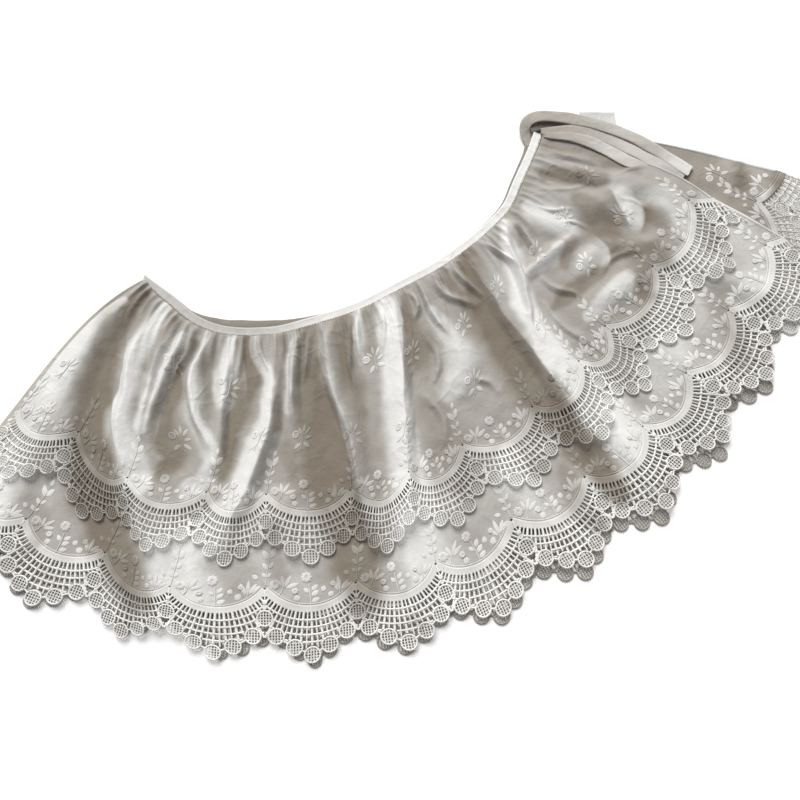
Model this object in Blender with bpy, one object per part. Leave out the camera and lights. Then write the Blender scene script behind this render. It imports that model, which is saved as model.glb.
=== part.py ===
# Lace-trimmed shirt extender: a two-tier gathered skirt of cotton voile on a narrow waistband,
# folded in half at its left side and laid flat, with its two ties drawn over the right side.
# Tables and sizes are in millimetres, in the plan of the surface it lies on. Metres go to Blender.

import bisect
import math

import bpy

MM = 0.001

# Cloth and stacking
WALL = 1.2              # thickness of each cloth wall
SEAM_GAP = 0.3          # space between two pieces where they are sewn
STEEPEST = 0.5          # smallest upward share of a wall's normal that its thickness is corrected for
BACK_UPPER_TOP = 1.2
BACK_LOWER_TOP = 2.7
FRONT_LOWER_TOP = 4.2
FRONT_UPPER_TOP = 7.3
LOFT = 0.5              # share of a lower fold's height that the upper tier clears it by

# Middle of the laid-out garment, in the plan that the tables use
PLAN_CENTRE = (-0.48, 34.61)

# Waist seam, from the folded left corner to the open right end
WAIST_SEAM = [
    (-246, 114), (-221, 92), (-195, 72), (-165, 62), (-121, 62), (-92, 69), (-39, 87),
    (0, 108), (37, 129), (63, 148), (88, 170), (110, 195), (123, 224), (138, 258), (146, 280),
]
# How far the back half lies inside the front one: along the waist, offset
BACK_OFFSET = [
    (0, 0.0), (50, 1.0), (80, 6.5), (110, 9.0), (145, 7.5), (175, 3.0), (205, 0.5), (320, 0.5),
    (430, 2.0), (480, 3.0), (510, 8.0),
]

# Waistband
BAND_WIDTH = 9.5
BAND_THICK = 2.8
BACK_BAND_MID = 1.4
FRONT_BAND_MID = 4.6
BAND_STEP = 11.0        # distance between two sections of the band
BACK_BAND_SHORT = 15.0  # how much sooner the back half ends, where its tie goes on

# Scalloped lace edging, one repeat
PITCH = 81.2
GROOVE_RADIUS = 49.2    # inner edge of the corded band
ARC_CENTRE = -27.9      # height of the arcs' centre above the line through the cusps
CORD_INNER = 50.6
CORD_OUTER = 54.6
CORD_FOOT = 56.0
CORD_RAISE = 0.9
NET_MIDDLE = 68.0
RING_RADIUS = 7.9
CUSP_DEPTH = 40.0       # lowest point of the edge between two scallops
# Rings along one scallop: share of the repeat, depth below the cusp line
RINGS = [(0.13, 47.5), (0.315, 58.0), (0.5, 65.6), (0.685, 58.0), (0.87, 47.5)]
RING_CORNERS = (-55.0, 0.0, 55.0)
NOTCH_DEPTH = 1.5

# Gathers
GATHER_PITCH = 7.1
# Distance below the waist seam, height of a gather
GATHERS = [(0, 0.6), (8, 3.0), (22, 2.8), (40, 1.4), (62, 0.0)]
GATHER_ROWS = (0.0, 8.0, 22.0, 40.0)

# Cusps between scallops: scallop, distance along the waist, cusp x, cusp y, way the lace runs
# in degrees, degrees the cloth leaves the waist off square, share of the lace's full depth
FRONT_UPPER = [
    (0, -1, -350, -8, -124, -12, 0.95),
    (1, 5, -293, -29, -114, -8, 0.92),
    (2, 24, -244, -72, -100, 0, 0.80),
    (3, 87, -173, -84, -106, 0, 0.93),
    (4, 158, -120, -86, -88, 0, 0.92),
    (5, 197, -45, -82, -86, 0, 0.92),
    (6, 262, 7, -67, -80, 0, 0.92),
    (7, 304, 55, -41, -60, 0, 0.94),
    (8, 345, 120, -5, -57, 0, 0.96),
    (9, 380, 164, 38, -46, 0, 1.0),
    (10, 405, 191, 73, -33, 0, 1.0),
    (11, 438, 241, 134, -32, 0, 1.0),
    (12, 490, 282, 204, -33, 0, 1.0),
    (12.25, 505, 298, 217, -38, 0, 1.0),
]
FRONT_LOWER = [
    (0, -2, -384, -68, -132, -12, 0.95),
    (1, 4, -332, -108, -118, -8, 0.95),
    (2, 30, -260, -137, -108, 0, 0.92),
    (3, 80, -200, -167, -95, 0, 0.78),
    (4, 135, -118, -168, -88, 0, 0.94),
    (5, 190, -39, -163, -86, 0, 0.91),
    (6, 245, 30, -147, -71, 0, 0.97),
    (7, 300, 97, -109, -62, 0, 1.0),
    (8, 345, 165, -70, -57, 0, 1.0),
    (9, 375, 220, -24, -38, 0, 1.0),
    (10, 405, 263, 26, -30, 0, 1.0),
    (11, 437, 311, 90, -30, 0, 1.0),
    (12, 490, 355, 158, -25, 2, 1.0),
    (12.22, 505, 364, 174, -36, 3, 1.0),
]
BACK_LOWER = [
    (0, -11, -398, -58, -128, -22, 0.95),
    (1, 3, -335, -110, -118, -8, 0.96),
    (2, 30, -262, -137, -108, 0, 0.92),
    (3, 80, -198, -165, -95, 0, 0.76),
    (4, 135, -112, -169, -88, 0, 0.96),
    (5, 190, -42, -168, -86, 0, 0.90),
    (6, 245, 30, -152, -72, 0, 0.94),
    (7, 300, 96, -119, -62, 0, 1.0),
    (8, 345, 165, -80, -58, 0, 1.0),
    (9, 375, 219, -36, -42, 0, 1.0),
    (10, 405, 262, 14, -32, 0, 1.0),
    (11, 437, 310, 79, -29, 0, 1.0),
    (12, 470, 344, 140, -22, 6, 1.0),
    (13, 500, 351, 206, -18, 14, 1.0),
    (13.43, 508, 364, 245, -17, 22, 1.0),
]

# Folds: crest points, width to the left and right of the way down, height at start, middle, end
UPPER_FOLDS = {
    "left_lobe": ([(-250, 104), (-287, 48), (-300, 5), (-297, -40), (-290, -85)], 46, 30, 2, 13, 9),
    "second_lobe": ([(-220, 84), (-242, 48), (-244, 14), (-251, -28), (-243, -62), (-232, -120)], 15, 24, 2, 16, 9),
    "sprig_ridge": ([(-200, 70), (-209, 37), (-215, 8), (-223, -45)], 18, 12, 2, 13, 6),
    "narrow_ridge": ([(-176, 58), (-191, 25), (-184, -8), (-168, -43), (-168, -70)], 11, 12, 2, 11, 5),
    "forked_ridge": ([(-158, 53), (-164, 20), (-160, -5), (-164, -38)], 9, 12, 2, 11, 3),
    "sharp_ridge": ([(-114, 57), (-114, 21), (-117, -20), (-131, -66), (-156, -104), (-168, -140)], 28, 13, 3, 20, 8),
    "inner_ridge": ([(-92, 62), (-99, 38), (-103, 5), (-100, -24)], 10, 13, 2, 8, 2),
    "pleat": ([(-59, 74), (-66, 46), (-61, 20), (-48, -15), (-35, -58), (-26, -100), (-18, -134)], 14, 34, 3, 20, 15),
    "middle_ridge": ([(-6, 97), (0, 48), (4, 13), (5, -33), (8, -90)], 30, 24, 2, 15, 8),
    "soft_lobe": ([(22, 112), (36, 78), (47, 55), (45, 20), (40, -15)], 16, 22, 2, 12, 3),
    "thin_crease": ([(44, 124), (64, 102), (92, 79), (113, 62)], 7, 7, 1, 7, 3),
    "great_ridge": ([(73, 140), (86, 100), (106, 66), (144, 8), (168, -30), (190, -64)], 48, 24, 3, 20, 10),
    "upper_crease": ([(105, 170), (112, 128), (140, 148), (172, 164)], 12, 14, 3, 9, 4),
    "far_ridge": ([(126, 214), (165, 204), (205, 206), (246, 190), (270, 158)], 22, 26, 3, 14, 8),
    "low_mound": ([(150, 110), (178, 116), (204, 110), (232, 118)], 20, 24, 3, 11, 6),
}
LOWER_FOLDS = {
    "left_ridge": ([(-318, -40), (-318, -90), (-330, -150)], 34, 42, 0, 8, 5),
    "left_swell": ([(-224, -70), (-216, -130), (-208, -200)], 32, 36, 0, 11, 5),
    "middle_swell": ([(-100, -80), (-96, -130), (-94, -190)], 40, 42, 0, 6, 3),
    "right_swell": ([(2, -70), (10, -125), (20, -190)], 20, 42, 0, 11, 5),
    "slope_swell": ([(72, -40), (92, -95), (112, -150)], 32, 38, 0, 8, 4),
    "trough_edge": ([(186, 0), (208, -50), (236, -100)], 20, 34, 0, 12, 5),
    "far_swell": ([(240, 60), (286, 20), (330, -15)], 28, 30, 0, 7, 3),
    "end_swell": ([(270, 150), (322, 118), (380, 90)], 26, 30, 0, 7, 3),
}

# Ties: x, y, height of the middle, width
LONG_TIE = [
    (132.8, 271.4, 1.4, 9), (130.8, 278, 2.1, 9), (127, 285.5, 4.6, 9), (128.5, 292, 7.2, 9), (136, 296.5, 8.4, 10),
    (150, 297, 9.2, 11), (167, 295, 9.8, 12), (185, 290, 9.6, 12), (205, 284, 8.4, 12), (226, 278, 8.0, 12),
    (245, 268, 8.6, 12), (262, 256, 8.8, 12), (278, 245, 7.8, 12), (291, 234, 7.0, 12),
]
MIDDLE_TIE = [
    (150, 283, 7.4, 8), (163, 284, 7.8, 11), (180, 284, 7.8, 12), (198, 279, 6.4, 12), (214, 273, 5.8, 12),
    (230, 265, 6.2, 12), (245, 253, 8.6, 12), (257, 241.5, 10.4, 12), (271, 229.5, 10.8, 11),
]
LOWER_TIE = [
    (151, 274, 8.7, 8), (164, 272, 10.7, 11), (181, 270, 10.9, 13), (197, 264, 10.7, 13), (210, 257, 10.3, 13),
    (223, 249, 9.9, 13), (237, 240, 9.5, 12), (252, 231, 9.3, 11),
]
KNOT_WRAP = [(141.3, 281.1, 4.6, 9), (143.5, 286.5, 4.7, 9), (150, 290, 5.2, 10), (166, 288, 5.6, 11), (184, 283, 5.6, 10)]
TIE_THICK = 1.5
TIE_STEP = 5.0

# Care label, left blank: its left and right sides, then its rows of y and height
LABEL_SIDES = (185.0, 220.0)
LABEL_ROWS = [(271.0, 2.7), (277.0, 2.8), (286.0, 2.7), (295.0, 1.6), (308.0, 0.9)]
LABEL_THICK = 0.8

# Mesh densities, in columns for each scallop
FRONT_COLUMNS = 8
BACK_COLUMNS = 6

COLOURS = {
    "voile": (0.62, 0.605, 0.58),
    "band": (0.74, 0.725, 0.70),
    "tie": (0.68, 0.66, 0.63),
    "label": (0.80, 0.79, 0.78),
}


# Smooth reading of a table

def slopes(keys, values):
    """Slopes of a smooth curve through uneven points."""
    last = len(keys) - 1
    out = []
    for i in range(last + 1):
        before = max(i - 1, 0)
        after = min(i + 1, last)
        out.append((values[after] - values[before]) / (keys[after] - keys[before]))
    return out


class Smooth:
    """A smooth curve through (key, value) points, straight beyond its ends."""

    def __init__(self, keys, values):
        self.keys = list(keys)
        self.values = list(values)
        self.slopes = slopes(self.keys, self.values)

    def __call__(self, at):
        keys = self.keys
        if at <= keys[0]:
            return self.values[0] + self.slopes[0] * (at - keys[0])
        if at >= keys[-1]:
            return self.values[-1] + self.slopes[-1] * (at - keys[-1])
        i = bisect.bisect_right(keys, at) - 1
        span = keys[i + 1] - keys[i]
        u = (at - keys[i]) / span
        h00 = (1 + 2 * u) * (1 - u) ** 2
        h10 = u * (1 - u) ** 2
        h01 = u * u * (3 - 2 * u)
        h11 = u * u * (u - 1)
        start = h00 * self.values[i] + h10 * span * self.slopes[i]
        return start + h01 * self.values[i + 1] + h11 * span * self.slopes[i + 1]


def linear(table, at):
    """Straight-line reading of a table of (key, value)."""
    if at <= table[0][0]:
        return table[0][1]
    for (k0, v0), (k1, v1) in zip(table, table[1:]):
        if at <= k1:
            return v0 + (v1 - v0) * (at - k0) / (k1 - k0)
    return table[-1][1]


def smooth_path(points):
    """A smooth plan curve through points, read by distance along it."""
    lengths = [0.0]
    for a, b in zip(points, points[1:]):
        lengths.append(lengths[-1] + math.dist(a, b))
    return [Smooth(lengths, [p[axis] for p in points]) for axis in range(len(points[0]))], lengths[-1]


# The waist

WAIST_CURVE, WAIST_LENGTH = smooth_path(WAIST_SEAM)


def waist_point(along):
    return WAIST_CURVE[0](along), WAIST_CURVE[1](along)


def waist_outward(along):
    """Unit direction from the waist into the cloth."""
    x0, y0 = waist_point(along - 2.0)
    x1, y1 = waist_point(along + 2.0)
    length = math.hypot(x1 - x0, y1 - y0)
    return (y1 - y0) / length, -(x1 - x0) / length


def moved_waist(along, inward):
    """Waist seam point, moved towards the body side."""
    x, y = waist_point(along)
    nx, ny = waist_outward(along)
    return x - nx * inward, y - ny * inward


# Cloth coordinates: scallops along the hem, distance down from the cusp line

class Tier:
    """Where a tier's cloth lies in plan."""

    def __init__(self, rows, inward):
        keys = [row[0] for row in rows]
        self.last = keys[-1]
        self.along = Smooth(keys, [row[1] for row in rows])
        self.cusp_x = Smooth(keys, [row[2] for row in rows])
        self.cusp_y = Smooth(keys, [row[3] for row in rows])
        self.lean = Smooth(keys, [row[4] for row in rows])
        self.fan = Smooth(keys, [row[5] for row in rows])
        self.lace = Smooth(keys, [row[6] for row in rows])
        self.inward = inward

    def frame(self, scallop):
        """Waist point, its direction, cusp-line point, its direction, and the length between."""
        along = self.along(scallop)
        inward = linear(BACK_OFFSET, along) if self.inward else 0.0
        nx, ny = waist_outward(along)
        wx, wy = waist_point(along)
        wx += nx * (SEAM_GAP - inward)
        wy += ny * (SEAM_GAP - inward)
        fan = math.radians(self.fan(scallop))
        nx, ny = nx * math.cos(fan) - ny * math.sin(fan), nx * math.sin(fan) + ny * math.cos(fan)
        cx = self.cusp_x(scallop)
        cy = self.cusp_y(scallop)
        lean = math.radians(self.lean(scallop))
        return wx, wy, nx, ny, cx, cy, math.cos(lean), math.sin(lean), math.hypot(cx - wx, cy - wy)

    def plan(self, scallop, depth):
        """Plan point at a depth below the cusp line (above it where negative)."""
        wx, wy, nx, ny, cx, cy, lx, ly, length = self.frame(scallop)
        if depth >= 0.0:
            reach = depth * self.lace(scallop)
            return cx + lx * reach, cy + ly * reach
        u = max(1.0 + depth / length, 0.0)
        h00 = (1 + 2 * u) * (1 - u) ** 2
        h10 = u * (1 - u) ** 2
        h01 = u * u * (3 - 2 * u)
        h11 = u * u * (u - 1)
        x = h00 * wx + h10 * length * nx + h01 * cx + h11 * length * lx
        y = h00 * wy + h10 * length * ny + h01 * cy + h11 * length * ly
        return x, y

    def length(self, scallop):
        return self.frame(scallop)[8]

    def scallop_at(self, along):
        """The scallop number of a point along the waist."""
        low = 0.0
        high = self.last
        for _ in range(40):
            middle = (low + high) / 2
            if self.along(middle) < along:
                low = middle
            else:
                high = middle
        return (low + high) / 2


def arc_depth(scallop, radius):
    """Depth below the cusp line of an arc of the lace."""
    across = (scallop - math.floor(scallop) - 0.5) * PITCH
    return ARC_CENTRE + math.sqrt(max(radius * radius - across * across, 0.0))


# Heights

def crest_reading(points, x, y):
    """Nearest place on a crest line: share along it, distance, and side."""
    best = None
    total = sum(math.dist(a, b) for a, b in zip(points, points[1:]))
    passed = 0.0
    for (x0, y0), (x1, y1) in zip(points, points[1:]):
        dx = x1 - x0
        dy = y1 - y0
        length = math.hypot(dx, dy)
        u = ((x - x0) * dx + (y - y0) * dy) / (length * length)
        u = min(max(u, 0.0), 1.0)
        px = x0 + u * dx
        py = y0 + u * dy
        far = math.hypot(x - px, y - py)
        side = dx * (y - y0) - dy * (x - x0)
        if best is None or far < best[1]:
            best = ((passed + u * length) / total, far, side)
        passed += length
    return best


def bump(share):
    """Rounded profile of a fold, from 1 at its crest to 0 at its foot."""
    if share >= 1.0:
        return 0.0
    return (1 - share) ** 2 * (1 + 2 * share)


def folds_height(folds, x, y):
    """Height of a set of folds, joined so that none adds to another."""
    total = 0.0
    for points, left, right, start, middle, end in folds.values():
        share, far, side = crest_reading(points, x, y)
        # a negative side lies to the right when the crest runs down the page
        width = right if side > 0 else left
        if far >= width:
            continue
        if share < 0.5:
            height = start + (middle - start) * math.sin(math.pi * share)
        else:
            height = end + (middle - end) * math.sin(math.pi * share)
        total += (height * bump(far / width)) ** 3
    return total ** (1 / 3)


def lower_form(x, y):
    return folds_height(LOWER_FOLDS, x, y)


def upper_form(x, y):
    lower = lower_form(x, y)
    return lower * (1 + LOFT) + folds_height(UPPER_FOLDS, x, y)


def no_form(x, y):
    return 0.0


def wall_drop(form, x, y):
    """Vertical thickness of a wall whose thickness is measured square to it."""
    step = 2.0
    slope_x = (form(x + step, y) - form(x - step, y)) / (2 * step)
    slope_y = (form(x, y + step) - form(x, y - step)) / (2 * step)
    upward = 1.0 / math.sqrt(1.0 + slope_x ** 2 + slope_y ** 2)
    return WALL / max(upward, STEEPEST)


def gather_height(along, down):
    """Height of the gathers under the waist seam."""
    wave = 0.5 - 0.5 * math.cos(2 * math.pi * along / GATHER_PITCH)
    unevenness = 0.8 + 0.2 * math.sin(along * 0.31) + 0.15 * math.sin(along * 0.083 + 1.0)
    hem_end = min(max((WAIST_LENGTH - along) / 20.0, 0.0), 1.0)
    return linear(GATHERS, down) * wave * unevenness * hem_end


# Rows of a wall: each is a list of (scallop, depth) with the height added to the form

def even_scallops(tier, columns):
    count = int(tier.last * columns)
    out = [i / columns for i in range(count + 1)]
    if tier.last - out[-1] > 0.3 / columns:
        out.append(tier.last)
    else:
        out[-1] = tier.last
    return out


def share_row(tier, scallops, share):
    """A row part of the way from the waist seam to the groove above the corded band."""
    row = []
    for s in scallops:
        length = tier.length(s)
        whole = length + arc_depth(s, GROOVE_RADIUS)
        row.append((s, share * whole - length))
    return row


def arc_row(scallops, radius):
    return [(s, arc_depth(s, radius)) for s in scallops]


def ring_outline(tier):
    """The lobed edge of the lace, as (scallop, depth)."""
    row = []
    number = 0
    while number < tier.last:
        centres = [(share * PITCH, depth) for share, depth in RINGS]
        around = [(0.0, CUSP_DEPTH - 8.0)] + centres + [(PITCH, CUSP_DEPTH - 8.0)]
        row.append((float(number), CUSP_DEPTH))
        for i, (cx, cy) in enumerate(centres):
            before = around[i]
            after = around[i + 2]
            facing = math.atan2(before[1] - after[1], after[0] - before[0])
            for corner in RING_CORNERS:
                turn = facing + math.radians(corner)
                px = cx + RING_RADIUS * math.sin(turn)
                py = cy + RING_RADIUS * math.cos(turn)
                row.append((number + px / PITCH, py))
            if i + 1 < len(centres):
                nx, ny = centres[i + 1]
                row.append((number + (cx + nx) / 2 / PITCH, (cy + ny) / 2 - NOTCH_DEPTH))
        number += 1
    kept = [point for point in row if point[0] < tier.last - 0.02]
    kept.append((tier.last, kept[-1][1]))
    return kept


def plain_outline(scallops, low, high):
    """A plain scalloped edge between two depths."""
    row = []
    for s in scallops:
        wave = math.sin(math.pi * (s - math.floor(s)))
        row.append((s, low + (high - low) * wave))
    return row


# Mesh building

class Wall:
    """A closed cloth wall made of an upper and a lower surface."""

    def __init__(self, tier):
        self.tier = tier
        self.points = []
        self.faces = []

    def add_row(self, row, height):
        """Adds a row of points; height(x, y, scallop, depth) gives each one's z."""
        first = len(self.points)
        for scallop, depth in row:
            x, y = self.tier.plan(scallop, depth)
            self.points.append((x, y, height(x, y, scallop, depth)))
        return [(first + i, row[i][0]) for i in range(len(row))]

    def strip(self, upper, lower, flip):
        """Joins two rows with triangles, by their places along the hem."""
        i = 0
        j = 0
        while i < len(upper) - 1 or j < len(lower) - 1:
            step_upper = j == len(lower) - 1
            if not step_upper and i < len(upper) - 1:
                next_upper = (upper[i][1] + upper[i + 1][1]) / 2
                next_lower = (lower[j][1] + lower[j + 1][1]) / 2
                step_upper = next_upper <= next_lower
            if step_upper:
                face = (upper[i][0], lower[j][0], upper[i + 1][0])
                i += 1
            else:
                face = (upper[i][0], lower[j][0], lower[j + 1][0])
                j += 1
            self.faces.append(face[::-1] if flip else face)

    def surface(self, rows, flip):
        for upper, lower in zip(rows, rows[1:]):
            self.strip(upper, lower, flip)

    def close(self, top_rows, under_rows):
        """Joins the two surfaces around their edge."""
        self.strip(under_rows[0], top_rows[0], False)
        self.strip(top_rows[-1], under_rows[-1], False)
        for end, flip in ((0, False), (-1, True)):
            top_side = [(row[end][0], 0.0) for row in top_rows]
            under_side = [(row[end][0], 0.0) for row in under_rows]
            self.fan_side(top_side, under_side, flip)

    def fan_side(self, top_side, under_side, flip):
        """Joins the two surfaces along one end, by distance down it."""
        marked = []
        for side in (top_side, under_side):
            run = 0.0
            out = [(side[0][0], 0.0)]
            for (a, _), (b, _) in zip(side, side[1:]):
                run += math.dist(self.points[a][:2], self.points[b][:2])
                out.append((b, run))
            marked.append(out)
        self.strip(marked[0], marked[1], flip)


def build_mesh(name, points, faces, material):
    """Makes an object of a mesh given in plan millimetres."""
    mesh = bpy.data.meshes.new(name)
    placed = []
    for x, y, z in points:
        placed.append(((x - PLAN_CENTRE[0]) * MM, (y - PLAN_CENTRE[1]) * MM, z * MM))
    mesh.from_pydata(placed, [], faces)
    mesh.validate()
    mesh.materials.append(material)
    mesh.shade_smooth()
    obj = bpy.data.objects.new(name, mesh)
    bpy.context.collection.objects.link(obj)
    return obj


def make_material(name, colour, roughness):
    material = bpy.data.materials.new(name)
    material.use_nodes = True
    shader = material.node_tree.nodes["Principled BSDF"]
    shader.inputs["Base Color"].default_value = (*colour, 1.0)
    shader.inputs["Roughness"].default_value = roughness
    shader.inputs["Metallic"].default_value = 0.0
    return material


# Pieces

def gathered_row(tier, down):
    """A row near the waist with a point on the crest and in the foot of each gather."""
    step = GATHER_PITCH / 2
    count = int(tier.along(tier.last) / step)
    row = []
    for i in range(count + 1):
        along = i * step
        s = tier.scallop_at(along)
        row.append((s, down - tier.length(s)))
    row[0] = (0.0, down - tier.length(0.0))
    row[-1] = (tier.last, down - tier.length(tier.last))
    return row


def front_upper_tier(material):
    tier = Tier(FRONT_UPPER, False)
    wall = Wall(tier)
    scallops = even_scallops(tier, FRONT_COLUMNS)

    def top(x, y, s, depth):
        down = depth + tier.length(s)
        return FRONT_UPPER_TOP + upper_form(x, y) + gather_height(tier.along(s), down)

    def cord(x, y, s, depth):
        return FRONT_UPPER_TOP + upper_form(x, y) + CORD_RAISE

    def under(x, y, s, depth):
        return FRONT_UPPER_TOP + upper_form(x, y) - wall_drop(upper_form, x, y)

    top_rows = [wall.add_row(gathered_row(tier, down), top) for down in GATHER_ROWS]
    shares = (0.38, 0.49, 0.60, 0.71, 0.81, 0.91, 1.0)
    top_rows += [wall.add_row(share_row(tier, scallops, share), top) for share in shares]
    top_rows.append(wall.add_row(arc_row(scallops, CORD_INNER), cord))
    top_rows.append(wall.add_row(arc_row(scallops, CORD_OUTER), cord))
    top_rows.append(wall.add_row(arc_row(scallops, CORD_FOOT), top))
    top_rows.append(wall.add_row(arc_row(scallops, NET_MIDDLE), top))
    top_rows.append(wall.add_row(ring_outline(tier), top))

    under_rows = [wall.add_row(share_row(tier, scallops, share), under) for share in (0.0, 0.19)]
    under_rows += [wall.add_row(share_row(tier, scallops, share), under) for share in shares]
    under_rows.append(wall.add_row(arc_row(scallops, NET_MIDDLE), under))
    under_rows.append(wall.add_row(ring_outline(tier), under))

    wall.surface(top_rows, False)
    wall.surface(under_rows, True)
    wall.close(top_rows, under_rows)
    return build_mesh("front_upper_tier", wall.points, wall.faces, material)


def front_lower_tier(material):
    tier = Tier(FRONT_LOWER, False)
    wall = Wall(tier)
    scallops = even_scallops(tier, FRONT_COLUMNS)

    def top(x, y, s, depth):
        return FRONT_LOWER_TOP + lower_form(x, y)

    def cord(x, y, s, depth):
        return FRONT_LOWER_TOP + lower_form(x, y) + CORD_RAISE

    def under(x, y, s, depth):
        return FRONT_LOWER_TOP + lower_form(x, y) - wall_drop(lower_form, x, y)

    shares = (0.0, 0.3, 0.5, 0.64, 0.76, 0.88, 1.0)
    top_rows = [wall.add_row(share_row(tier, scallops, share), top) for share in shares]
    top_rows.append(wall.add_row(arc_row(scallops, CORD_INNER), cord))
    top_rows.append(wall.add_row(arc_row(scallops, CORD_OUTER), cord))
    top_rows.append(wall.add_row(arc_row(scallops, CORD_FOOT), top))
    top_rows.append(wall.add_row(arc_row(scallops, NET_MIDDLE), top))
    top_rows.append(wall.add_row(ring_outline(tier), top))

    under_rows = [wall.add_row(share_row(tier, scallops, share), under) for share in shares]
    under_rows.append(wall.add_row(arc_row(scallops, NET_MIDDLE), under))
    under_rows.append(wall.add_row(ring_outline(tier), under))

    wall.surface(top_rows, False)
    wall.surface(under_rows, True)
    wall.close(top_rows, under_rows)
    return build_mesh("front_lower_tier", wall.points, wall.faces, material)


def back_lower_tier(material):
    tier = Tier(BACK_LOWER, True)
    wall = Wall(tier)
    scallops = even_scallops(tier, BACK_COLUMNS)

    def top(x, y, s, depth):
        return BACK_LOWER_TOP

    def cord(x, y, s, depth):
        # the band steps down here from the cloth to the lace on the surface
        share = 0.3 if depth < arc_depth(s, CORD_INNER) + 0.5 else 0.8
        return BACK_LOWER_TOP + share * (BACK_UPPER_TOP - BACK_LOWER_TOP) + CORD_RAISE * share

    def lace(x, y, s, depth):
        return BACK_UPPER_TOP

    def under(x, y, s, depth):
        return BACK_LOWER_TOP - WALL

    def rest(x, y, s, depth):
        return 0.0

    shares = (0.0, 0.6, 1.0)
    top_rows = [wall.add_row(share_row(tier, scallops, share), top) for share in shares]
    top_rows.append(wall.add_row(arc_row(scallops, CORD_INNER), cord))
    top_rows.append(wall.add_row(arc_row(scallops, CORD_OUTER), cord))
    top_rows.append(wall.add_row(arc_row(scallops, CORD_FOOT), lace))
    top_rows.append(wall.add_row(ring_outline(tier), lace))

    under_rows = [wall.add_row(share_row(tier, scallops, share), under) for share in (0.0, 1.0)]
    under_rows.append(wall.add_row(arc_row(scallops, CORD_FOOT), rest))
    under_rows.append(wall.add_row(ring_outline(tier), rest))

    wall.surface(top_rows, False)
    wall.surface(under_rows, True)
    wall.close(top_rows, under_rows)
    return build_mesh("back_lower_tier", wall.points, wall.faces, material)


def back_upper_tier(material):
    tier = Tier(BACK_LOWER, True)
    wall = Wall(tier)
    scallops = even_scallops(tier, BACK_COLUMNS)
    outline = plain_outline(scallops, -34.0, -8.0)

    def top(x, y, s, depth):
        return BACK_UPPER_TOP

    def rest(x, y, s, depth):
        return 0.0

    def part_row(share):
        row = []
        for s, depth in outline:
            length = tier.length(s)
            row.append((s, share * (depth + length) - length))
        return row

    top_rows = [wall.add_row(part_row(share), top) for share in (0.0, 0.5, 1.0)]
    under_rows = [wall.add_row(part_row(share), rest) for share in (0.0, 1.0)]
    wall.surface(top_rows, False)
    wall.surface(under_rows, True)
    wall.close(top_rows, under_rows)
    return build_mesh("back_upper_tier", wall.points, wall.faces, material)


def swept_body(name, sections, material):
    """A closed body through rings of points, all with the same count."""
    points = []
    faces = []
    count = len(sections[0])
    for ring in sections:
        points += ring
    for i in range(len(sections) - 1):
        for k in range(count):
            a = i * count + k
            b = i * count + (k + 1) % count
            faces.append((a, b + count, b))
            faces.append((a, a + count, b + count))
    last = (len(sections) - 1) * count
    for k in range(1, count - 1):
        faces.append((0, k, k + 1))
        faces.append((last, last + k + 1, last + k))
    return build_mesh(name, points, faces, material)


def flat_section(width, thick):
    """Section of a turned strip: across, then up."""
    half = width / 2
    lift = thick / 2
    edge = lift * 0.35
    return [
        (-half, -edge), (-half + lift, -lift), (half - lift, -lift), (half, -edge),
        (half, edge), (half - lift, lift), (-half + lift, lift), (-half, edge),
    ]


def waistband(material):
    """The band, folded over itself at the left corner: the back half, the turn, the front half."""
    sections = []
    inset = 1.5
    reach = WAIST_LENGTH - 1.0
    stations = int((reach - inset) / BAND_STEP)
    radius = (FRONT_BAND_MID - BACK_BAND_MID) / 2
    middle = (FRONT_BAND_MID + BACK_BAND_MID) / 2
    profile = flat_section(BAND_WIDTH, BAND_THICK)

    def ring(along, inward, x_shift, height, turn):
        """A section whose thickness is turned by an angle in the plane of the band's run."""
        ox, oy = waist_outward(along)
        tx, ty = -oy, ox
        x, y = moved_waist(along, inward + BAND_WIDTH / 2)
        x += tx * x_shift
        y += ty * x_shift
        out = []
        for across, up in profile:
            run = up * math.sin(turn)
            out.append((x + ox * across + tx * run, y + oy * across + ty * run, height + up * math.cos(turn)))
        return out

    for i in range(stations, -1, -1):
        along = inset + (reach - BACK_BAND_SHORT - inset) * i / stations
        sections.append(ring(along, linear(BACK_OFFSET, along), 0.0, BACK_BAND_MID, math.pi))
    for turn in (0.25, 0.5, 0.75):
        angle = math.pi * turn
        inward = linear(BACK_OFFSET, inset) * (1 - turn)
        shift = -radius * math.sin(angle)
        height = middle - radius * math.cos(angle)
        sections.append(ring(inset, inward, shift, height, math.pi - angle))
    for i in range(stations + 1):
        along = inset + (reach - inset) * i / stations
        sections.append(ring(along, 0.0, 0.0, FRONT_BAND_MID, 0.0))
    return swept_body("waistband", sections, material)


def tie(name, rows, material):
    """A flat tie along its route."""
    curves, length = smooth_path([(x, y, z) for x, y, z, width in rows])
    lengths = curves[0].keys
    width_at = Smooth(lengths, [row[3] for row in rows])
    count = int(length / TIE_STEP)
    sections = []
    for i in range(count + 1):
        at = length * i / count
        here = [curve(at) for curve in curves]
        behind = [curve(at - 1.0) for curve in curves]
        ahead = [curve(at + 1.0) for curve in curves]
        run_x = ahead[0] - behind[0]
        run_y = ahead[1] - behind[1]
        size = math.hypot(run_x, run_y)
        side_x = run_y / size
        side_y = -run_x / size
        ring = []
        for across, up in flat_section(width_at(at), TIE_THICK):
            ring.append((here[0] + side_x * across, here[1] + side_y * across, here[2] + up))
        sections.append(ring)
    return swept_body(name, sections, material)


def care_label(material):
    left, right = LABEL_SIDES
    sections = []
    for y, z in LABEL_ROWS:
        half = LABEL_THICK / 2
        sections.append([(left, y, z + half), (right, y, z + half), (right, y, z + 3 * half), (left, y, z + 3 * half)])
    return swept_body("care_label", sections, material)


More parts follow.
